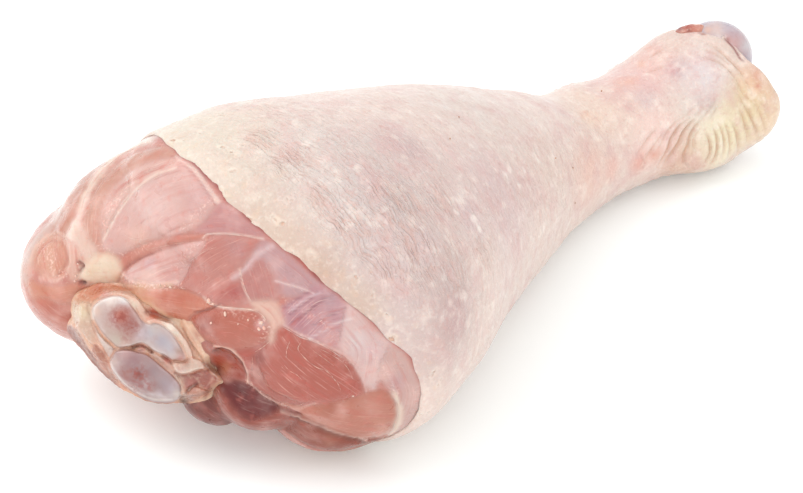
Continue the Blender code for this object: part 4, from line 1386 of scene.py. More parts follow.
# ---------------------------------------------------------------------- sheath strands, fat, glints
# Torn edges of the thin white sheaths lie over the bare muscles as wet strands, and a few pale beads lie
# beside them: partly grains of fat that cling there, partly painted highlights where the wet surface glints.
STRANDS = (
    (0.3, "#F0CDBE", ((240, 270), (243, 282), (246, 291), (251, 301))),
    (0.28, "#EDC6BA", ((203, 236), (210, 233), (222, 234), (236, 235), (250, 237), (264, 239))),
    (0.42, "#F3D6C8", ((206, 302), (212, 305), (222, 307), (236, 308), (252, 310), (262, 315),
     (268, 324))),
    (0.25, "#EBCBC6", ((278, 281), (287, 284), (296, 287), (304, 292))),
    (0.35, "#E9C8C2", ((283, 327), (290, 331), (300, 337), (312, 341), (322, 345), (332, 351),
     (342, 358))),
    (0.26, "#EBC0B2", ((290, 341), (287, 349), (286, 358))),
    (0.3, "#EFC4B4", ((301, 342), (298, 349), (303, 356), (309, 362), (318, 368), (325, 370), (331, 375))),
    (0.24, "#E5B0A2", ((284, 365), (290, 371), (297, 375), (302, 380))),
    (0.25, "#EDBFB0", ((331, 375), (334, 379), (338, 384), (341, 391))),
    (0.22, "#E3B0A2", ((318, 348), (330, 354), (341, 361), (349, 370), (353, 380))),
    (0.2, "#DFA898", ((312, 350), (322, 357), (334, 366))),
    (0.28, "#EBC3B3", ((270, 341), (263, 347), (255, 352))),
    (0.2, "#E0A696", ((252, 356), (253, 367))),
    (0.25, "#E7B9AA", ((246, 381), (256, 389), (266, 397), (280, 404), (296, 406), (306, 402))),
    (0.2, "#D9A08F", ((256, 372), (266, 384), (282, 394), (300, 398))),
    (0.24, "#F1CDC0", ((176, 155), (187, 163), (197, 173), (207, 186), (217, 202))),
    (0.3, "#F3D0C2", ((150, 141), (132, 149), (112, 162), (97, 177), (86, 195), (80, 214))),
    (0.22, "#EFC9BC", ((164, 146), (140, 154), (118, 167), (104, 180), (93, 198), (90, 216))),
    (0.22, "#F0C9BC", ((176, 163), (160, 168), (143, 173), (128, 183), (118, 196))),
    (0.26, "#F4D3C6", ((166, 173), (152, 180), (140, 188), (128, 198), (118, 210), (108, 223))),
    (0.2, "#ECC0B2", ((128, 193), (114, 212), (105, 234))),
    (0.2, "#ECC0B2", ((120, 204), (111, 224), (106, 242))),
    (0.2, "#EDC4B8", ((112, 208), (104, 224), (102, 240))),
    (0.22, "#F2CEC2", ((123, 234), (130, 238), (140, 240), (150, 238))),
    (0.26, "#F2CABC", ((124, 275), (132, 279), (146, 281), (162, 284), (180, 286))),
    (0.22, "#F0C6B8", ((150, 286), (162, 288), (174, 288), (188, 289))),
    (0.2, "#E9BBAD", ((150, 249), (164, 246), (180, 243), (200, 242))),
    (0.2, "#E9BDB2", ((184, 268), (192, 260), (204, 252), (216, 247))),
    (0.22, "#ECC2B2", ((66, 212), (78, 192), (94, 174), (114, 158), (140, 146))),
    (0.24, "#EFC8B8", ((34, 262), (38, 250), (47, 240), (56, 236))),
    (0.26, "#F0D8CA", ((388, 434), (395, 424), (398, 412), (396, 402))),
    # This short strand stands for a glint: a painted highlight.
    (0.2, "#E6BFB6", ((366, 386), (371, 390), (376, 384))),
)
FAT_AND_GLINT_BEADS = (
    ((209, 301), 0.8), ((213, 304), 0.55), ((225, 314), 0.6), ((211, 323), 0.4), ((261, 323), 0.75),
    ((264, 328), 0.7), ((259, 329), 0.6), ((248, 320), 0.4), ((238, 324), 0.3), ((165, 286), 0.4),
    ((170, 287), 0.5), ((160, 285), 0.35), ((353, 396), 0.35), ((236, 433), 0.4), ((78, 264), 0.4),
    ((76, 276), 0.5), ((75, 281), 0.4),
)
muscle_surface = surface_tree(meat)


def toward_camera(points):
    away = camera_place - points
    return away / np.linalg.norm(away, axis=-1, keepdims=True)


strand_points, strand_edges, strand_width, strand_tone = [], [], [], []
for width, tone, line in STRANDS:
    first = len(strand_points)
    line = smooth_line(line)
    for share, pixel in zip(np.linspace(0, 1, len(line)), line):
        place = on_photo(muscle_surface, pixel)
        strand_points.append(place + toward_camera(place) * 0.05 * width)
        uneven = (0.6 + 0.4 * math.sin(23 * share + first)) * (0.8 + 0.2 * math.sin(51 * share))
        strand_width.append(0.45 * width * MM * (0.15 + 0.85 * math.sin(math.pi * share) ** 0.5) * uneven)
        strand_tone.append(linear(tone) * MEAT_DARKEN)
    strand_edges += [(place, place + 1) for place in range(first, len(strand_points) - 1)]
strands = new_piece("sheath_strands", np.array(strand_points), [], {
    "width": np.array(strand_width), "tone": np.array(strand_tone)}, strand_edges)
thread, given = new_geometry_tree("strands", {"Sides": 8})
curve = put(thread, "GeometryNodeMeshToCurve", {"Mesh": given["Geometry"]})
ring = put(thread, "GeometryNodeCurvePrimitiveCircle", {"Resolution": given["Sides"], "Radius": 1.0})
thickness = put(thread, "GeometryNodeInputNamedAttribute", {"Name": "width"}, data_type="FLOAT")
tube = put(thread, "GeometryNodeCurveToMesh", {
    "Curve": curve, "Profile Curve": ring.outputs["Curve"], "Scale": thickness, "Fill Caps": True})
finish_tree(thread, given, tube)

# Sheath, fat and the beads that stand for glints are milky and wet.
sheath, tree, shader = new_material("white sheath, fat and glints", 0.30, 1.42, 0.30, 1.0, 0.6, 0.10)
space = put(tree, "ShaderNodeTexCoord").outputs["Object"]
milky = put(tree, "ShaderNodeAttribute", attribute_name="tone").outputs["Color"]
milky = clouds(tree, milky, "#D99A8A", space, 1.5, 3.0, 0.40, 0.70, 0.75, start=0.15)
tree.links.new(milky, shader.inputs["Base Color"])
fine_grain = put(tree, "ShaderNodeTexNoise", {"Vector": space, "Scale": 1 / (0.5 * MM), "Detail": 2.0})
bump = put(tree, "ShaderNodeBump", {"Strength": 0.5, "Distance": 0.12 * MM, "Height": fine_grain})
tree.links.new(bump.outputs[0], shader.inputs["Normal"])
apply_tree(strands, thread, sheath)
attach(strands, "root")

bead_places = np.array([on_photo(muscle_surface, pixel) for pixel, radius in FAT_AND_GLINT_BEADS])
beads = new_piece("fat_and_glint_beads", bead_places, [], {
    "size": np.array([radius * MM for pixel, radius in FAT_AND_GLINT_BEADS]),
    "tone": np.tile(linear("#F2D9C8") * MEAT_DARKEN, (len(FAT_AND_GLINT_BEADS), 1))})
grains, given = new_geometry_tree("fat and glint beads", {"Detail": 2, "Seed": 3})
grain = put(grains, "GeometryNodeMeshIcoSphere", {"Radius": 1.0, "Subdivisions": given["Detail"]})
stretch = put(grains, "FunctionNodeRandomValue", {
    "Min": (0.7, 0.6, 0.4), "Max": (1.3, 1.0, 0.7), "Seed": given["Seed"]}, data_type="FLOAT_VECTOR")
size = put(grains, "GeometryNodeInputNamedAttribute", {"Name": "size"}, data_type="FLOAT")
stretch = put(grains, "ShaderNodeVectorMath", {0: stretch.outputs[0], "Scale": size}, operation="SCALE")


def set_on_points(tree, given, instance, scale):
    """The instance at each point of the geometry, turned any way."""
    turn = put(tree, "FunctionNodeRandomValue", {
        "Min": (0.0, 0.0, 0.0), "Max": (6.2, 6.2, 6.2), "Seed": given["Seed"]}, data_type="FLOAT_VECTOR")
    return put(tree, "GeometryNodeInstanceOnPoints", {
        "Points": given["Geometry"], "Instance": instance, "Rotation": turn.outputs[0], "Scale": scale})


finish_tree(grains, given, set_on_points(grains, given, grain, stretch))
apply_tree(beads, grains, sheath)
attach(beads, "root")

# -------------------------------------------------------------------------------- knee joint
# The end of the shin bone, cut free at the knee. Its bearing faces are wet blue-white cartilage
# worn through to red-brown bone, held in a cream capsule of fat and torn ligaments that still
# grip the bone at the edges.
JOINT_LEAN = np.array((-0.86, -0.42, 0.28)) / np.linalg.norm((-0.86, -0.42, 0.28))
JOINT_DEPTH, JOINT_WALL = -103.2, 24
JOINT_SIDES, JOINT_RINGS, JOINT_WALLS = 400, 150, 8
JOINT_OPEN_RIM, JOINT_RIM_SPAN = -3.0, (-5, 8)
JOINT_OUTLINE = (
    (73, 299), (71, 308), (71, 318), (67, 325), (68, 332), (74, 341), (82, 350), (89, 359), (96, 367),
    (104, 375), (112, 382), (120, 388), (128, 392), (138, 397.5), (150, 402), (164, 404), (176, 403),
    (186, 403), (194, 403), (204, 401), (212, 396), (220, 388), (226, 381), (220, 373), (213, 362),
    (214, 352), (207, 341), (201, 331), (194, 322), (184, 314), (172, 308), (160, 303), (148, 296),
    (140, 290), (130, 286), (118, 284), (106, 284), (94, 287), (84, 293),
)

# What lies in the joint, the lower ones first: tone, whether it is cartilage, how many
# millimetres it stands up, how round its rim is, and its outline in the photograph.
JOINT_PARTS = (
    # Orange tissue at the top, its orange-brown partly painted shade.
    ("#D28765", 0, -0.3, 1.0, ((80, 292), (94, 284), (112, 284), (128, 288), (122, 293), (110, 292),
     (99, 297), (90, 302), (80, 303))),
    # Cream band.
    ("#D5B19C", 0, 1.0, 1.4, ((73, 300), (84, 301), (92, 305), (91, 318), (95, 331), (103, 343),
     (111, 354), (108, 362), (99, 352), (89, 341), (80, 330), (74, 322), (72, 310))),
    # Pink band.
    ("#B47560", 0, 0.6, 1.4, ((95, 344), (103, 352), (109, 362), (114, 371), (120, 380), (127, 389),
     (116, 384), (106, 375), (98, 365), (91, 354))),
    # Pale strip by the upper face.
    ("#DAC5BB", 0, 1.0, 0.8, ((94, 324), (99, 333), (106, 341), (113, 347), (113, 353), (109, 357),
     (103, 347), (97, 337))),
    # Layered edges.
    ("#B08881", 0, -0.8, 0.5, ((66, 324), (74, 328), (82, 339), (90, 351), (98, 363), (108, 375),
     (122, 389), (110, 383), (97, 370), (86, 357), (75, 343), (67, 333))),
    # Collar above the upper face.
    ("#DFB8A4", 0, 0.9, 1.2, ((98, 299), (110, 291), (126, 291), (136, 297), (145, 308), (152, 318),
     (147, 325), (140, 317), (134, 308), (127, 300), (117, 296), (106, 298))),
    # Collar of the middle face.
    ("#E4C8B7", 0, 1.8, 1.0, ((146, 321), (154, 318), (162, 320), (171, 323), (179, 330), (187, 341),
     (193, 353), (193, 362), (188, 360), (184, 350), (178, 341), (170, 332), (162, 326), (154, 324),
     (148, 326))),
    # Second ligament.
    ("#E7BA9E", 0, 1.3, 1.4, ((182, 319), (191, 322), (200, 335), (208, 348), (214, 361), (220, 377),
     (210, 369), (203, 361), (196, 351), (188, 338))),
    # Tissue between the lower faces.
    ("#D5B1A2", 0, 0.3, 1.0, ((150, 351), (160, 356), (168, 360), (174, 368), (184, 376), (188, 386),
     (184, 396), (178, 385), (170, 375), (160, 365), (150, 358))),
    # Brown tissue.
    ("#AA6355", 0, -0.6, 1.0, ((182, 374), (194, 371), (204, 368), (212, 374), (219, 380), (211, 386),
     (206, 396), (196, 388), (188, 393), (184, 384))),
    # Upper and middle face.
    ("#CEB5AE", 1, 1.9, 2.4, ((92, 311), (94, 305), (100, 300.5), (107, 297.5), (115, 296), (122, 297),
     (128, 301), (133, 307), (138, 314), (143, 321), (149, 324), (155, 323), (162, 325), (169, 330),
     (175, 337), (180, 345), (184, 352), (186, 359), (180, 361), (172, 360.5), (165, 356), (158, 353),
     (152, 349.5), (147, 345.5), (142, 343.5), (136, 344.5), (128, 347), (118, 347.5), (111, 342),
     (104, 335), (98, 327), (94, 319))),
    # Lower face.
    ("#AF918F", 1, 2.3, 2.6, ((110, 363), (110, 360), (113, 355), (116, 351), (122, 349.5), (130, 350),
     (138, 352), (146, 354), (152, 358), (158, 363), (164, 368), (170, 373), (176, 379), (180.5, 386),
     (181, 393), (179, 399), (174, 402.5), (166, 404), (158, 403.5), (150, 401.5), (142, 398), (134, 393),
     (127, 388), (120, 381.5), (115, 375), (111.5, 369))),
    # Curled flap.
    ("#D7B8A7", 0, 2.3, 0.8, ((171, 362), (177, 362), (184, 362), (189, 358), (197, 359), (204, 363),
     (208, 367), (203, 369), (196, 370.5), (190, 372.5), (183, 374), (178, 373), (174, 369))),
    # Small flap.
    ("#BA836F", 0, 1.6, 0.7, ((189, 391), (196, 387), (203, 389), (209, 392), (203, 395), (196, 399),
     (191, 402), (188, 397))),
)
# Stains on the cartilage faces; the near-white ones at (112, 300) and (124, 299) are painted highlights on
# the upper face's top edge.
FACE_STAINS = (
    ("#F9ECE4", (112, 300), 9, 0.9), ("#F9F9F9", (124, 299), 6, 0.9), ("#E2C0B0", (95, 311), 6, 0.8),
    ("#AA5D52", (122, 318), 13, 0.9), ("#A46762", (131, 326), 10, 0.8), ("#CE745E", (121, 316), 6, 0.7),
    ("#9E4438", (121, 317), 2.5, 0.8), ("#B28379", (128, 335), 9, 0.6), ("#C2A59A", (107, 332), 9, 0.7),
    ("#C3B4A2", (117, 340), 8, 0.6), ("#D3AA9D", (124, 345), 4, 0.6), ("#BCB4BB", (148, 333), 8, 0.8),
    ("#C7BAB4", (156, 328), 6, 0.6), ("#AEA6B2", (162, 341), 9, 0.8), ("#B8B6C1", (170, 348), 7, 0.6),
    ("#AE887B", (180, 352), 5, 0.8), ("#C67A6A", (181, 358), 4, 0.7), ("#B79CA1", (140, 336), 6, 0.5),
    ("#D7BDB4", (114, 362), 6, 0.7), ("#D9B1AC", (126, 354), 7, 0.6), ("#9F7075", (133, 361), 9, 0.7),
    ("#A28C8E", (136, 372), 10, 0.7), ("#752921", (139, 375), 5, 0.7), ("#64201B", (139, 374), 2.2, 0.8),
    ("#A2655D", (126, 376), 9, 0.6), ("#86261C", (133, 388), 7, 0.9), ("#762216", (141, 391), 7, 0.8),
    ("#947B81", (152, 372), 8, 0.6), ("#A8969C", (164, 384), 10, 0.8), ("#BBACB3", (172, 390), 7, 0.6),
    ("#D6C8BE", (177, 394), 5, 0.7), ("#926C67", (155, 390), 8, 0.5), ("#764B4A", (146, 398), 4, 0.5),
)
# Stains on the capsule; the bright one at (170, 327) is a painted highlight on the collar, the orange-brown
# one at (98, 289) is painted shade at the top of the joint, and the near-black ones at (160, 404) and (184,
# 401) are painted shadow under the lower face.
CAPSULE_STAINS = (
    ("#E7D9B7", (82, 311), 9, 0.7), ("#CD9873", (76, 303), 5, 0.7), ("#CEAA97", (88, 330), 8, 0.6),
    ("#A96D58", (104, 354), 5, 0.7), ("#BF7E6B", (106, 366), 6, 0.5), ("#8E5C52", (114, 376), 6, 0.7),
    ("#E4A9A6", (106, 294), 5, 0.6), ("#BF603F", (98, 289), 6, 0.7), ("#F1CAB4", (134, 297), 7, 0.6),
    ("#F9F3DE", (133, 306), 5, 0.5), ("#D66044", (155, 313), 7, 0.95), ("#C3543F", (153, 312), 4, 0.8),
    ("#F2E5D6", (170, 327), 6, 0.95), ("#DACABB", (176, 333), 4, 0.8), ("#DDB3A3", (186, 350), 6, 0.5),
    ("#AB503E", (196, 336), 7, 0.5), ("#E38F7A", (142, 347), 6, 0.9), ("#D1B3AF", (141, 351), 4, 0.7),
    ("#D34E36", (168, 359), 4, 0.9), ("#E2B4A4", (168, 370), 7, 0.6), ("#CBAA98", (180, 379), 6, 0.6),
    ("#9F5A53", (200, 377), 7, 0.7), ("#D48B81", (191, 384), 5, 0.6), ("#C6A49F", (181, 371), 5, 0.7),
    ("#955E4C", (186, 362), 4, 0.7), ("#1F0E0B", (160, 404), 14, 0.8), ("#4D1612", (184, 401), 6, 0.8),
    ("#A35849", (73, 330), 4, 0.4), ("#9A6760", (96, 362), 6, 0.4),
)

# Where the cartilage is worn to the bone: pixel, reach, strength.
WORN = (
    ((121, 318), 11, 1.0), ((131, 327), 9, 0.8), ((127, 336), 7, 0.5), ((139, 374), 9, 1.0),
    ((134, 388), 9, 0.9), ((146, 386), 9, 0.7), ((125, 372), 8, 0.4),
)

# Furrows and strands in the joint: tone, strength, half width in pixels, rise, and the line. The dark
# furrows are darkened with painted shade, in the clefts between the faces, the pocket above the middle face
# and under the curled flap; the first pale line is a painted highlight along the upper face's top edge.
JOINT_LINES = (
    ("#F6EFE9", 0.7, 1.8, 0.1, ((93, 318), (94, 309), (99, 303), (108, 299), (119, 298), (128, 302))),
    ("#EADBD0", 0.7, 1.1, 0.1, ((111, 364), (116, 373), (124, 383), (134, 390.5), (146, 397), (158, 400),
     (172, 400))),
    ("#E9DDD6", 0.6, 1.0, 0.0, ((120, 346), (132, 344.5), (142, 342.5), (150, 347), (158, 351.5),
     (168, 358))),
    ("#A98A8C", 0.4, 2.6, -0.4, ((142, 322), (145, 329), (147, 338))),
    ("#6C3022", 0.95, 1.7, -1.6, ((133, 347), (142, 345.5), (148, 349), (152, 352))),
    ("#7E4030", 0.9, 2.0, -1.6, ((163, 356), (168, 359.5), (171, 363))),
    ("#9C756C", 0.6, 1.1, -0.5, ((110, 349), (118, 349), (126, 349), (134, 348.5))),
    ("#9A5A48", 0.8, 3.2, -1.8, ((147, 312), (156, 314), (168, 318.5))),
    ("#B08468", 0.7, 1.5, -0.5, ((89, 301), (87, 307), (89, 314))),
    ("#B08A74", 0.45, 0.9, -0.4, ((92, 320), (97, 330), (104, 339), (112, 347))),
    ("#A98678", 0.55, 1.2, -0.5, ((115, 350), (112, 355), (109, 361))),
    ("#A0705A", 0.45, 1.1, -0.5, ((91, 306), (94, 301), (101, 297), (110, 294))),
    ("#8A5A50", 0.8, 0.9, -0.6, ((76, 330), (83, 340), (89, 351), (95, 360))),
    ("#93635A", 0.7, 0.9, -0.6, ((70, 326), (76, 338), (85, 351), (94, 363), (106, 376))),
    ("#C9A396", 0.6, 0.9, 0.5, ((72, 326), (79, 337), (87, 350), (96, 363), (108, 376))),
    ("#C08C74", 0.6, 1.2, -0.4, ((92, 344), (100, 355), (108, 368), (118, 382))),
    ("#B58A74", 0.7, 1.1, -0.5, ((183, 329), (189, 340), (196, 351), (204, 362))),
    ("#E9CDB3", 0.6, 1.4, 0.4, ((187, 326), (194, 337), (201, 349), (207, 360))),
    ("#F2DDD0", 0.85, 1.0, 0.6, ((205, 363), (211, 371), (218, 378))),
    ("#C8A58A", 0.6, 1.2, -0.4, ((176, 335), (183, 345), (189, 356))),
    ("#8A4A3A", 0.7, 1.4, -0.9, ((175, 373), (179, 376), (185, 376), (192, 374.5), (200, 372),
     (208, 370))),
    ("#B27C62", 0.7, 1.8, -0.8, ((174, 361), (182, 362.5), (189, 359))),
    ("#F0DECF", 0.8, 1.1, 0.3, ((174, 366), (178, 371.5), (185, 372.5), (194, 369.5), (203, 367.5))),
    ("#693429", 0.85, 1.6, -1.0, ((181, 398), (186, 393), (190, 388), (197, 384))),
    ("#8A4A3E", 0.7, 1.4, -0.8, ((187, 404), (188, 399), (186, 393))),
    ("#8E4638", 0.7, 1.7, -0.8, ((205, 399), (210, 389), (217, 382), (224, 379))),
    ("#C99F8A", 0.6, 1.2, 0.5, ((192, 376), (198, 380), (201, 388))),
    ("#E3C9B6", 0.6, 1.6, 0.6, ((176, 376), (181, 385), (184, 394))),
)


def even_ring(points, count):
    """The same closed line with evenly spaced points."""
    ring = np.concatenate((points, points[:1]))
    run = np.concatenate(((0,), np.cumsum(np.linalg.norm(np.diff(ring, axis=0), axis=1))))
    wanted = np.linspace(0, run[-1], count, endpoint=False)
    return np.stack([np.interp(wanted, run, ring[:, axis]) for axis in range(ring.shape[1])], axis=-1)


# The joint is a disc in its plane, each point raised toward the camera by what lies there, so
# that everything stays at its place in the photograph. Its rim dips under the muscles.
ring_pixels = even_ring(smooth_line(JOINT_OUTLINE, closed=True, steps=8), JOINT_SIDES)
middle_pixel = ring_pixels.mean(axis=0)
ray = photo_ray(middle_pixel)
middle = camera_place + ray * ((JOINT_DEPTH + LEG_SHIFT[0] - camera_place[0]) / ray[0])
ring, rim_height = [], []
for pixel in ring_pixels:
    ray = photo_ray(pixel)
    place = camera_place + ray * ((middle - camera_place) @ JOINT_LEAN / (ray @ JOINT_LEAN))
    hit = meat_surface.ray_cast(Vector(camera_place), Vector(ray))[0]
    ring.append(place)
    if hit is None:
        rim_height.append(JOINT_OPEN_RIM)
    else:
        rim_height.append(np.clip((np.array(hit) - place) @ toward_camera(place) - 1.0, *JOINT_RIM_SPAN))
ring, rim_height = np.array(ring), np.array(rim_height)
for smoothing in range(6):
    rim_height = (np.roll(rim_height, 1) + rim_height + np.roll(rim_height, -1)) / 3
centre = ring.mean(axis=0)
t = 1 - (1 - np.linspace(0.01, 1, JOINT_RINGS)[:, None]) ** 1.15
top = centre + (ring - centre) * t[..., None]
flat = top.reshape(-1, 3)
flat_pixels = photo_pixels(flat)
from_rim = inside_outline(flat_pixels, ring_pixels)
height = np.zeros(len(flat))
gristle = np.zeros(len(flat))
colour = np.tile(linear("#DDB598"), (len(flat), 1))
for tone, is_cartilage, lift, rounding, outline in JOINT_PARTS:
    within = inside_outline(flat_pixels, smooth_line(outline, closed=True))
    covers = smooth_step(within, -1.5, 1.5)
    turn_in = 1 - np.clip(within * PIXEL_SIZE / rounding, 0, 1)
    rise = lift - 0.5 * rounding * (1 - np.sqrt(np.maximum(1 - turn_in**2, 0)))
    height = height * (1 - covers) + rise * covers
    colour = lay(colour, tone, covers)
    colour = lay(colour, "#EBA88C", 0.5 * bell(within + 0.8, 1.3))
    gristle = gristle * (1 - covers) + is_cartilage * covers
worn = np.zeros(len(flat))
for pixel, extent, strength in WORN:
    worn = np.maximum(worn, gristle * strength * spot(flat_pixels, pixel, extent))
height += 0.25 * gristle * np.sin(flat_pixels[:, 0] * 0.14 + 1) * np.sin(flat_pixels[:, 1] * 0.17)
colour = paint(colour, flat_pixels, FACE_STAINS, (), gristle)
softer = [(tone, 0.7 * strength, width, rise, line) for tone, strength, width, rise, line in JOINT_LINES]
colour = paint(colour, flat_pixels, CAPSULE_STAINS, softer, 1 - gristle)
level = height.reshape(JOINT_RINGS, JOINT_SIDES)
for smoothing in range(160):
    across = (np.roll(level, 1, axis=1) + np.roll(level, -1, axis=1)) / 2
    inward = (np.concatenate((level[:1], level[:-1])) + np.concatenate((level[1:], level[-1:]))) / 2
    level = (level + across + inward) / 3
height = level.ravel() + np.clip(height - level.ravel(), -0.22, 0.7)
for tone, strength, half_width, rise, line in JOINT_LINES:
    height += 0.35 * rise * bell(along_line(flat_pixels, smooth_line(line))[1], half_width)
rim_blend = 1 - smooth_step(from_rim, 0, 11)
height = height * (1 - rim_blend) + np.tile(rim_height, JOINT_RINGS) * rim_blend
top = (flat + toward_camera(flat) * height[:, None]).reshape(top.shape)
down = np.linspace(0, JOINT_WALL, JOINT_WALLS + 1)[1:, None]
narrowing = 0.10 * np.sin(math.pi * down / JOINT_WALL) - 0.3 * (down / JOINT_WALL) ** 2
spread = (ring - centre) * narrowing[..., None]
rings = np.concatenate((top, top[-1] - JOINT_LEAN * down[..., None] + spread))
points = np.concatenate((top[0].mean(axis=0)[None], rings.reshape(-1, 3), rings[-1].mean(axis=0)[None]))
faces = closed_faces(len(rings), JOINT_SIDES)
if np.cross(ring[10] - centre, ring[0] - centre) @ JOINT_LEAN > 0:
    faces = [face[::-1] for face in faces]


def with_walls(values):
    """The values of the disc, carried down the wall from its rim."""
    walls = np.tile(values[-JOINT_SIDES:], (JOINT_WALLS, 1) if values.ndim > 1 else JOINT_WALLS)
    return np.concatenate((values[:1], values, walls, values[-1:]))


joint = new_piece("knee_joint", points, faces, {
    "tone": with_walls(colour) * MEAT_DARKEN, "gristle": with_walls(gristle), "fat": with_walls(1 - gristle),
    "worn": with_walls(worn)})

# The relief for fat and torn tissue: lobules a few millimetres across and a fine grain.
lobules, given = new_geometry_tree("fat relief", {
    "Lump width": 2.6 * MM,
    "Lump height": 0.7 * MM,
    "Grain width": 1.0 * MM,
    "Grain height": 0.3 * MM,
})
fatty = put(lobules, "GeometryNodeInputNamedAttribute", {"Name": "fat"}, data_type="FLOAT")
height = layered(lobules, 0.0, (
    (soft_hills(lobules, given, "Lump width"), given["Lump height"]),
    (soft_hills(lobules, given, "Grain width"), given["Grain height"]),
))
height = put(lobules, "ShaderNodeMath", (height, fatty), operation="MULTIPLY")
finish_tree(lobules, given, raise_surface(lobules, given, height))

# Cartilage is smooth, glassy and wet; the fat round it is duller, mottled and grained.
cartilage, tree, shader = new_material("cartilage and capsule fat", 0.26, 1.42, 0.35, 2.2, 0.7, 0.08)
shader.inputs["Subsurface Radius"].default_value = (1.0, 0.66, 0.58)
space = put(tree, "ShaderNodeTexCoord").outputs["Object"]
tone = put(tree, "ShaderNodeAttribute", attribute_name="tone").outputs["Color"]
is_gristle, worn_away = (
    put(tree, "ShaderNodeAttribute", attribute_name=label).outputs["Fac"]
    for label in ("gristle", "worn"))
gristle_tone = clouds(tree, tone, "#9C6A64", space, 1.6, 4.0, 0.50, 0.80, 0.22)
gristle_tone = clouds(tree, gristle_tone, "#DDD6DA", space, 4.5, 2.0, 0.50, 0.80, 0.25)
sore = patches(tree, space, 1.1, 4.0, 0.42, 0.60, 0.1, 0.9, worn_away)
gristle_tone = put(tree, "ShaderNodeMix", {
    0: sore, 6: gristle_tone, 7: (*linear("#8C4238"), 1.0)}, data_type="RGBA").outputs[2]
fat_tone = clouds(tree, tone, "#B9785E", space, 2.4, 3.0, 0.45, 0.75, 0.22)
fat_tone = clouds(tree, fat_tone, "#E9D6C2", space, 1.3, 2.0, 0.52, 0.75, 0.22)
both = put(tree, "ShaderNodeMix", {0: is_gristle, 6: fat_tone, 7: gristle_tone}, data_type="RGBA").outputs[2]
tree.links.new(both, shader.inputs["Base Color"])
patchy = patches(tree, space, 2.5, 2.0, 0.3, 0.7, 0.0, 0.16)
dullness = soft_step(tree, is_gristle, 0.0, 1.0, 0.28, 0.16)
dullness = soft_step(tree, patchy, 0.0, 0.16, 0.8, 1.6, dullness)
tree.links.new(dullness.outputs[0], shader.inputs["Roughness"])
fine_grain = put(tree, "ShaderNodeTexNoise", {"Vector": space, "Scale": 1 / (0.8 * MM), "Detail": 3.0})
uneven = soft_step(tree, is_gristle, 0.0, 1.0, 1.0, 0.15, fine_grain)
bump = put(tree, "ShaderNodeBump", {"Strength": 0.6, "Distance": 0.25 * MM, "Height": uneven})
tree.links.new(bump.outputs[0], shader.inputs["Normal"])
apply_tree(joint, lobules, cartilage)
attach(joint, "root")
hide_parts("leg_bone")

# -------------------------------------------------------------------------------------- hock
# The lower end of the shin bone, cut free at the hock: two rounded knuckles of blue-white
# cartilage with a groove between them, ringed by red torn tissue where the skin is cut round.
KNUCKLES = (((115.5, -10.3, 31.6), (11.2, 11.4, 10.8)), ((116.0, -10.8, 19.6), (9.4, 11.8, 9.8)))
KNUCKLE_MIDDLE, KNUCKLE_SOFTNESS = np.array((115.5, -10.0, 26.0)), 0.7
HOCK_STAINS = (
    ("#F0DCD2", (717, 31), 7, 0.7), ("#E8BFAD", (708, 30), 5, 0.9),
    ("#D7ABA7", (735, 45), 16, 0.9), ("#DAD4D6", (746, 46), 6, 0.7), ("#F9DBC5", (722, 40), 6, 0.6),
    ("#C4666A", (733, 50), 3.5, 0.9), ("#AE5548", (727, 40), 3, 0.8), ("#883942", (741, 60), 3, 0.8),
    ("#E4C5BD", (716, 26), 7, 0.6),
)
HOCK_GROOVE = ((724, 36), (730, 44), (737, 52), (744, 64))


def ball_grid(rows, columns):
    """Directions from the middle of a ball, and the faces between them."""
    polar = np.linspace(0, math.pi, rows + 2)[1:-1, None]
    azimuth = np.linspace(0, math.tau, columns, endpoint=False)
    unit = np.stack(np.broadcast_arrays(
        np.sin(polar) * np.cos(azimuth), np.sin(polar) * np.sin(azimuth), np.cos(polar)), axis=-1)
    unit = np.concatenate(((0, 0, 1), unit.ravel(), (0, 0, -1))).reshape(-1, 3)
    return unit, [face[::-1] for face in closed_faces(rows, columns)]


rays, faces = ball_grid(120, 160)
reaches = np.stack([reach_to(rays, *knuckle, (0, 0, 0), KNUCKLE_MIDDLE) for knuckle in KNUCKLES])
largest = reaches.max(axis=0)
reach = largest + KNUCKLE_SOFTNESS * np.log(np.exp((reaches - largest) / KNUCKLE_SOFTNESS).sum(axis=0))
points = KNUCKLE_MIDDLE + LEG_SHIFT + rays * reach[:, None]
pixels = photo_pixels(points)
facing = smooth_step(-(rays @ forward), -0.1, 0.3)
aside = along_line(pixels, smooth_line(HOCK_GROOVE))[1]
points -= rays * (0.8 * bell(aside, 2.2) * facing)[:, None]
colour = paint(np.tile(linear("#BDB2C0"), (len(points), 1)), pixels, HOCK_STAINS, (), facing)
knuckles = new_piece("hock_knuckles", points, faces, {
    "tone": colour * MEAT_DARKEN, "gristle": np.ones(len(points))})
knuckles.data.materials.append(cartilage)
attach(knuckles, "root")

# Behind the rim of the skin the end is closed by torn red tissue, thickest above the joint.
CUT_COLUMNS, CUT_ROWS, CUT_BULGE = 160, 40, 2.4
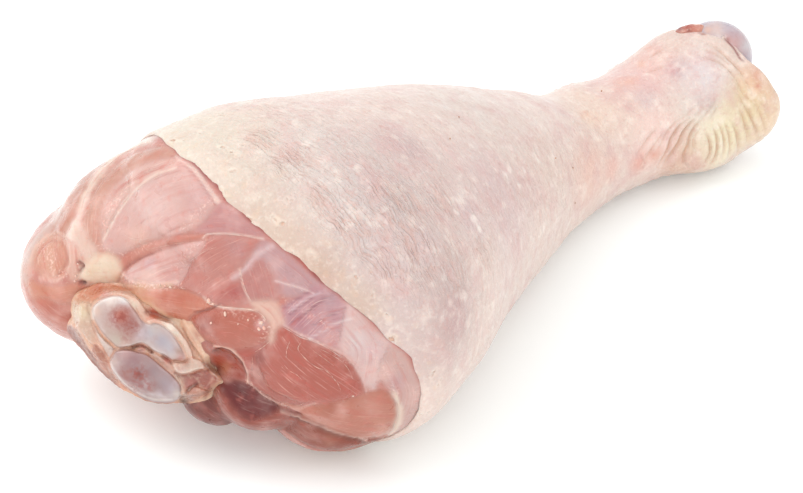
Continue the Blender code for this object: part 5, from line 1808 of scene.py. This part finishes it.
# The two small dark spots at (689, 30.5) and (702, 34) are painted shade that stands for holes in the torn
# tissue.
CUT_STAINS = (
    ("#8C6A70", (679, 27), 4, 0.9), ("#B4544A", (688, 26), 5, 0.9), ("#D98F7E", (697, 27), 5, 0.8),
    ("#E2A890", (705, 30), 5, 0.7), ("#8A3A30", (689, 30.5), 2, 0.9), ("#94503C", (702, 34), 2.2, 0.9),
)
turns = np.linspace(0, math.tau, CUT_COLUMNS, endpoint=False)
rim = nudge(leg_points(skin_hock_x(turns) - 0.4, turns, 2.2))
middle = rim.mean(axis=0)
share = np.linspace(1, 0.02, CUT_ROWS)[:, None, None]
cap = middle + (rim - middle) * share
cap[..., 0] += CUT_BULGE * (1 - share[..., 0] ** 2)
back = nudge(leg_points(skin_hock_x(turns) - 12, turns, 6.0))
cap = np.concatenate((back[None], cap))
points = np.concatenate((back.mean(axis=0)[None], cap.reshape(-1, 3), cap[-1].mean(axis=0)[None]))
faces = closed_faces(CUT_ROWS + 1, CUT_COLUMNS)
lump_middle = on_photo(skin_surface, (698, 34)) + forward * 4.2
lump_axes = (rightward * 6.4 - upward * 0.4, forward * 3.2, upward * 3.3)
colour = np.tile(linear("#D8998A"), (len(points), 1))
from_middle = np.linalg.norm(points - middle, axis=1)
patchy = np.sin(points[:, 1] * 1.1 + 1) * np.sin(points[:, 2] * 0.9)
colour = lay(colour, "#EBCBB8", 0.7 * np.clip(0.5 + 0.5 * patchy, 0, 1))
colour = lay(colour, "#B8564A", 0.7 * bell(from_middle - 9, 4))
rays, lump_faces = ball_grid(40, 60)
lump = lump_middle + rays @ np.array(lump_axes)
if np.linalg.det(np.array(lump_axes)) < 0:
    lump_faces = [face[::-1] for face in lump_faces]
lump_colour = np.tile(linear("#D08A78"), (len(lump), 1))
lump_colour = paint(lump_colour, photo_pixels(lump), CUT_STAINS, (), np.ones(len(lump))) * MEAT_DARKEN
faces += [[corner + len(points) for corner in face] for face in lump_faces]
cut_tissue = new_piece("cut_hock_tissue", np.concatenate((points, lump)), faces, {
    "tone": np.concatenate((colour * MEAT_DARKEN, lump_colour)),
    "gristle": np.zeros(len(points) + len(lump)), "fat": np.ones(len(points) + len(lump))})
apply_tree(cut_tissue, lobules, cartilage)
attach(cut_tissue, "root")

# ----------------------------------------------------------------------------- feather stubs
# Short brown ends of broken feathers, left in the skin when the bird was plucked.
STUBS = ((459, 117), (450, 139), (573, 168), (575, 203), (776, 91))
skin_top = surface_tree(skin)
stub_places = [on_photo(skin_top, pixel) for pixel in STUBS]
chance = np.random.default_rng(11)
for x, angle in zip(chance.uniform(-55, 80, 9), chance.uniform(-0.3, 1.1, 9)):
    start = leg_points(x, angle, -20.0)
    middle = np.array((start[0], LEG_SHIFT[1], 34.0))
    hit = skin_top.ray_cast(Vector(start), Vector(middle - start))[0]
    stub_places.append(np.array(hit if hit is not None else middle))
stubs = new_piece("feather_stubs", np.array(stub_places), [])
quills, given = new_geometry_tree("feather stubs", {"Radius": 0.27 * MM, "Detail": 2, "Seed": 5})
quill = put(quills, "GeometryNodeMeshIcoSphere", {
    "Radius": given["Radius"], "Subdivisions": given["Detail"]})
finish_tree(quills, given, set_on_points(quills, given, quill, (1.5, 0.8, 0.7)))

# Quill is a dull translucent brown.
quill_matter, tree, shader = new_material("feather quill", 0.5, 1.5, 0.2, 0.5, 0.2, 0.2)
space = put(tree, "ShaderNodeTexCoord").outputs["Object"]
brown = clouds(tree, (*linear("#B58A70"), 1.0), "#8A6450", space, 0.5, 2.0, 0.4, 0.7, 1.0)
tree.links.new(brown, shader.inputs["Base Color"])
apply_tree(stubs, quills, quill_matter)
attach(stubs, "root")

# --------------------------------------------------------------------------- floor and light
# A white sweep in a high-key studio: a big soft light from above and behind on the left, and
# white surroundings that fill every shadow.
FLOOR_SIZE = 6.0
floor_mesh = bpy.data.meshes.new("floor")
half = FLOOR_SIZE / 2
corners = [(-half, -half, 0), (half, -half, 0), (half, half, 0), (-half, half, 0)]
floor_mesh.from_pydata(corners, [], [(0, 1, 2, 3)])
floor = bpy.data.objects.new("floor", floor_mesh)
bpy.context.scene.collection.objects.link(floor)
white, tree, shader = new_material("white paper", 0.9, 1.45, 0.0, 1.0, 0.0, 0.5)
shader.inputs["Base Color"].default_value = (0.92, 0.95, 0.945, 1)
# The floor also glows faintly: painted light that lifts the shadows on it and lights the leg from below.
shader.inputs["Emission Color"].default_value = (0.92, 1.0, 0.97, 1)
shader.inputs["Emission Strength"].default_value = 0.10
shader.inputs["Specular IOR Level"].default_value = 0.2
floor_mesh.materials.append(white)

world = bpy.data.worlds.new("white surroundings")
world.use_nodes = True
world.node_tree.nodes["Background"].inputs["Color"].default_value = (1.0, 1.0, 1.0, 1)
world.node_tree.nodes["Background"].inputs["Strength"].default_value = 1.15
bpy.context.scene.world = world


def soft_light(name, place, aim, size, power):
    light = bpy.data.lights.new(name, "AREA")
    light.shape = "SQUARE"
    light.size = size
    light.energy = power
    lamp = bpy.data.objects.new(name, light)
    lamp.location = place
    lamp.rotation_euler = (Vector(aim) - Vector(place)).to_track_quat("-Z", "Y").to_euler()
    bpy.context.scene.collection.objects.link(lamp)


soft_light("key", (-0.5, 0.5, 0.95), (0, 0, 0.03), 0.8, 5.0)
soft_light("fill", (-0.8, -0.9, 0.5), (0, 0, 0.03), 0.8, 3.0)
bpy.context.scene.view_settings.view_transform = "Standard"
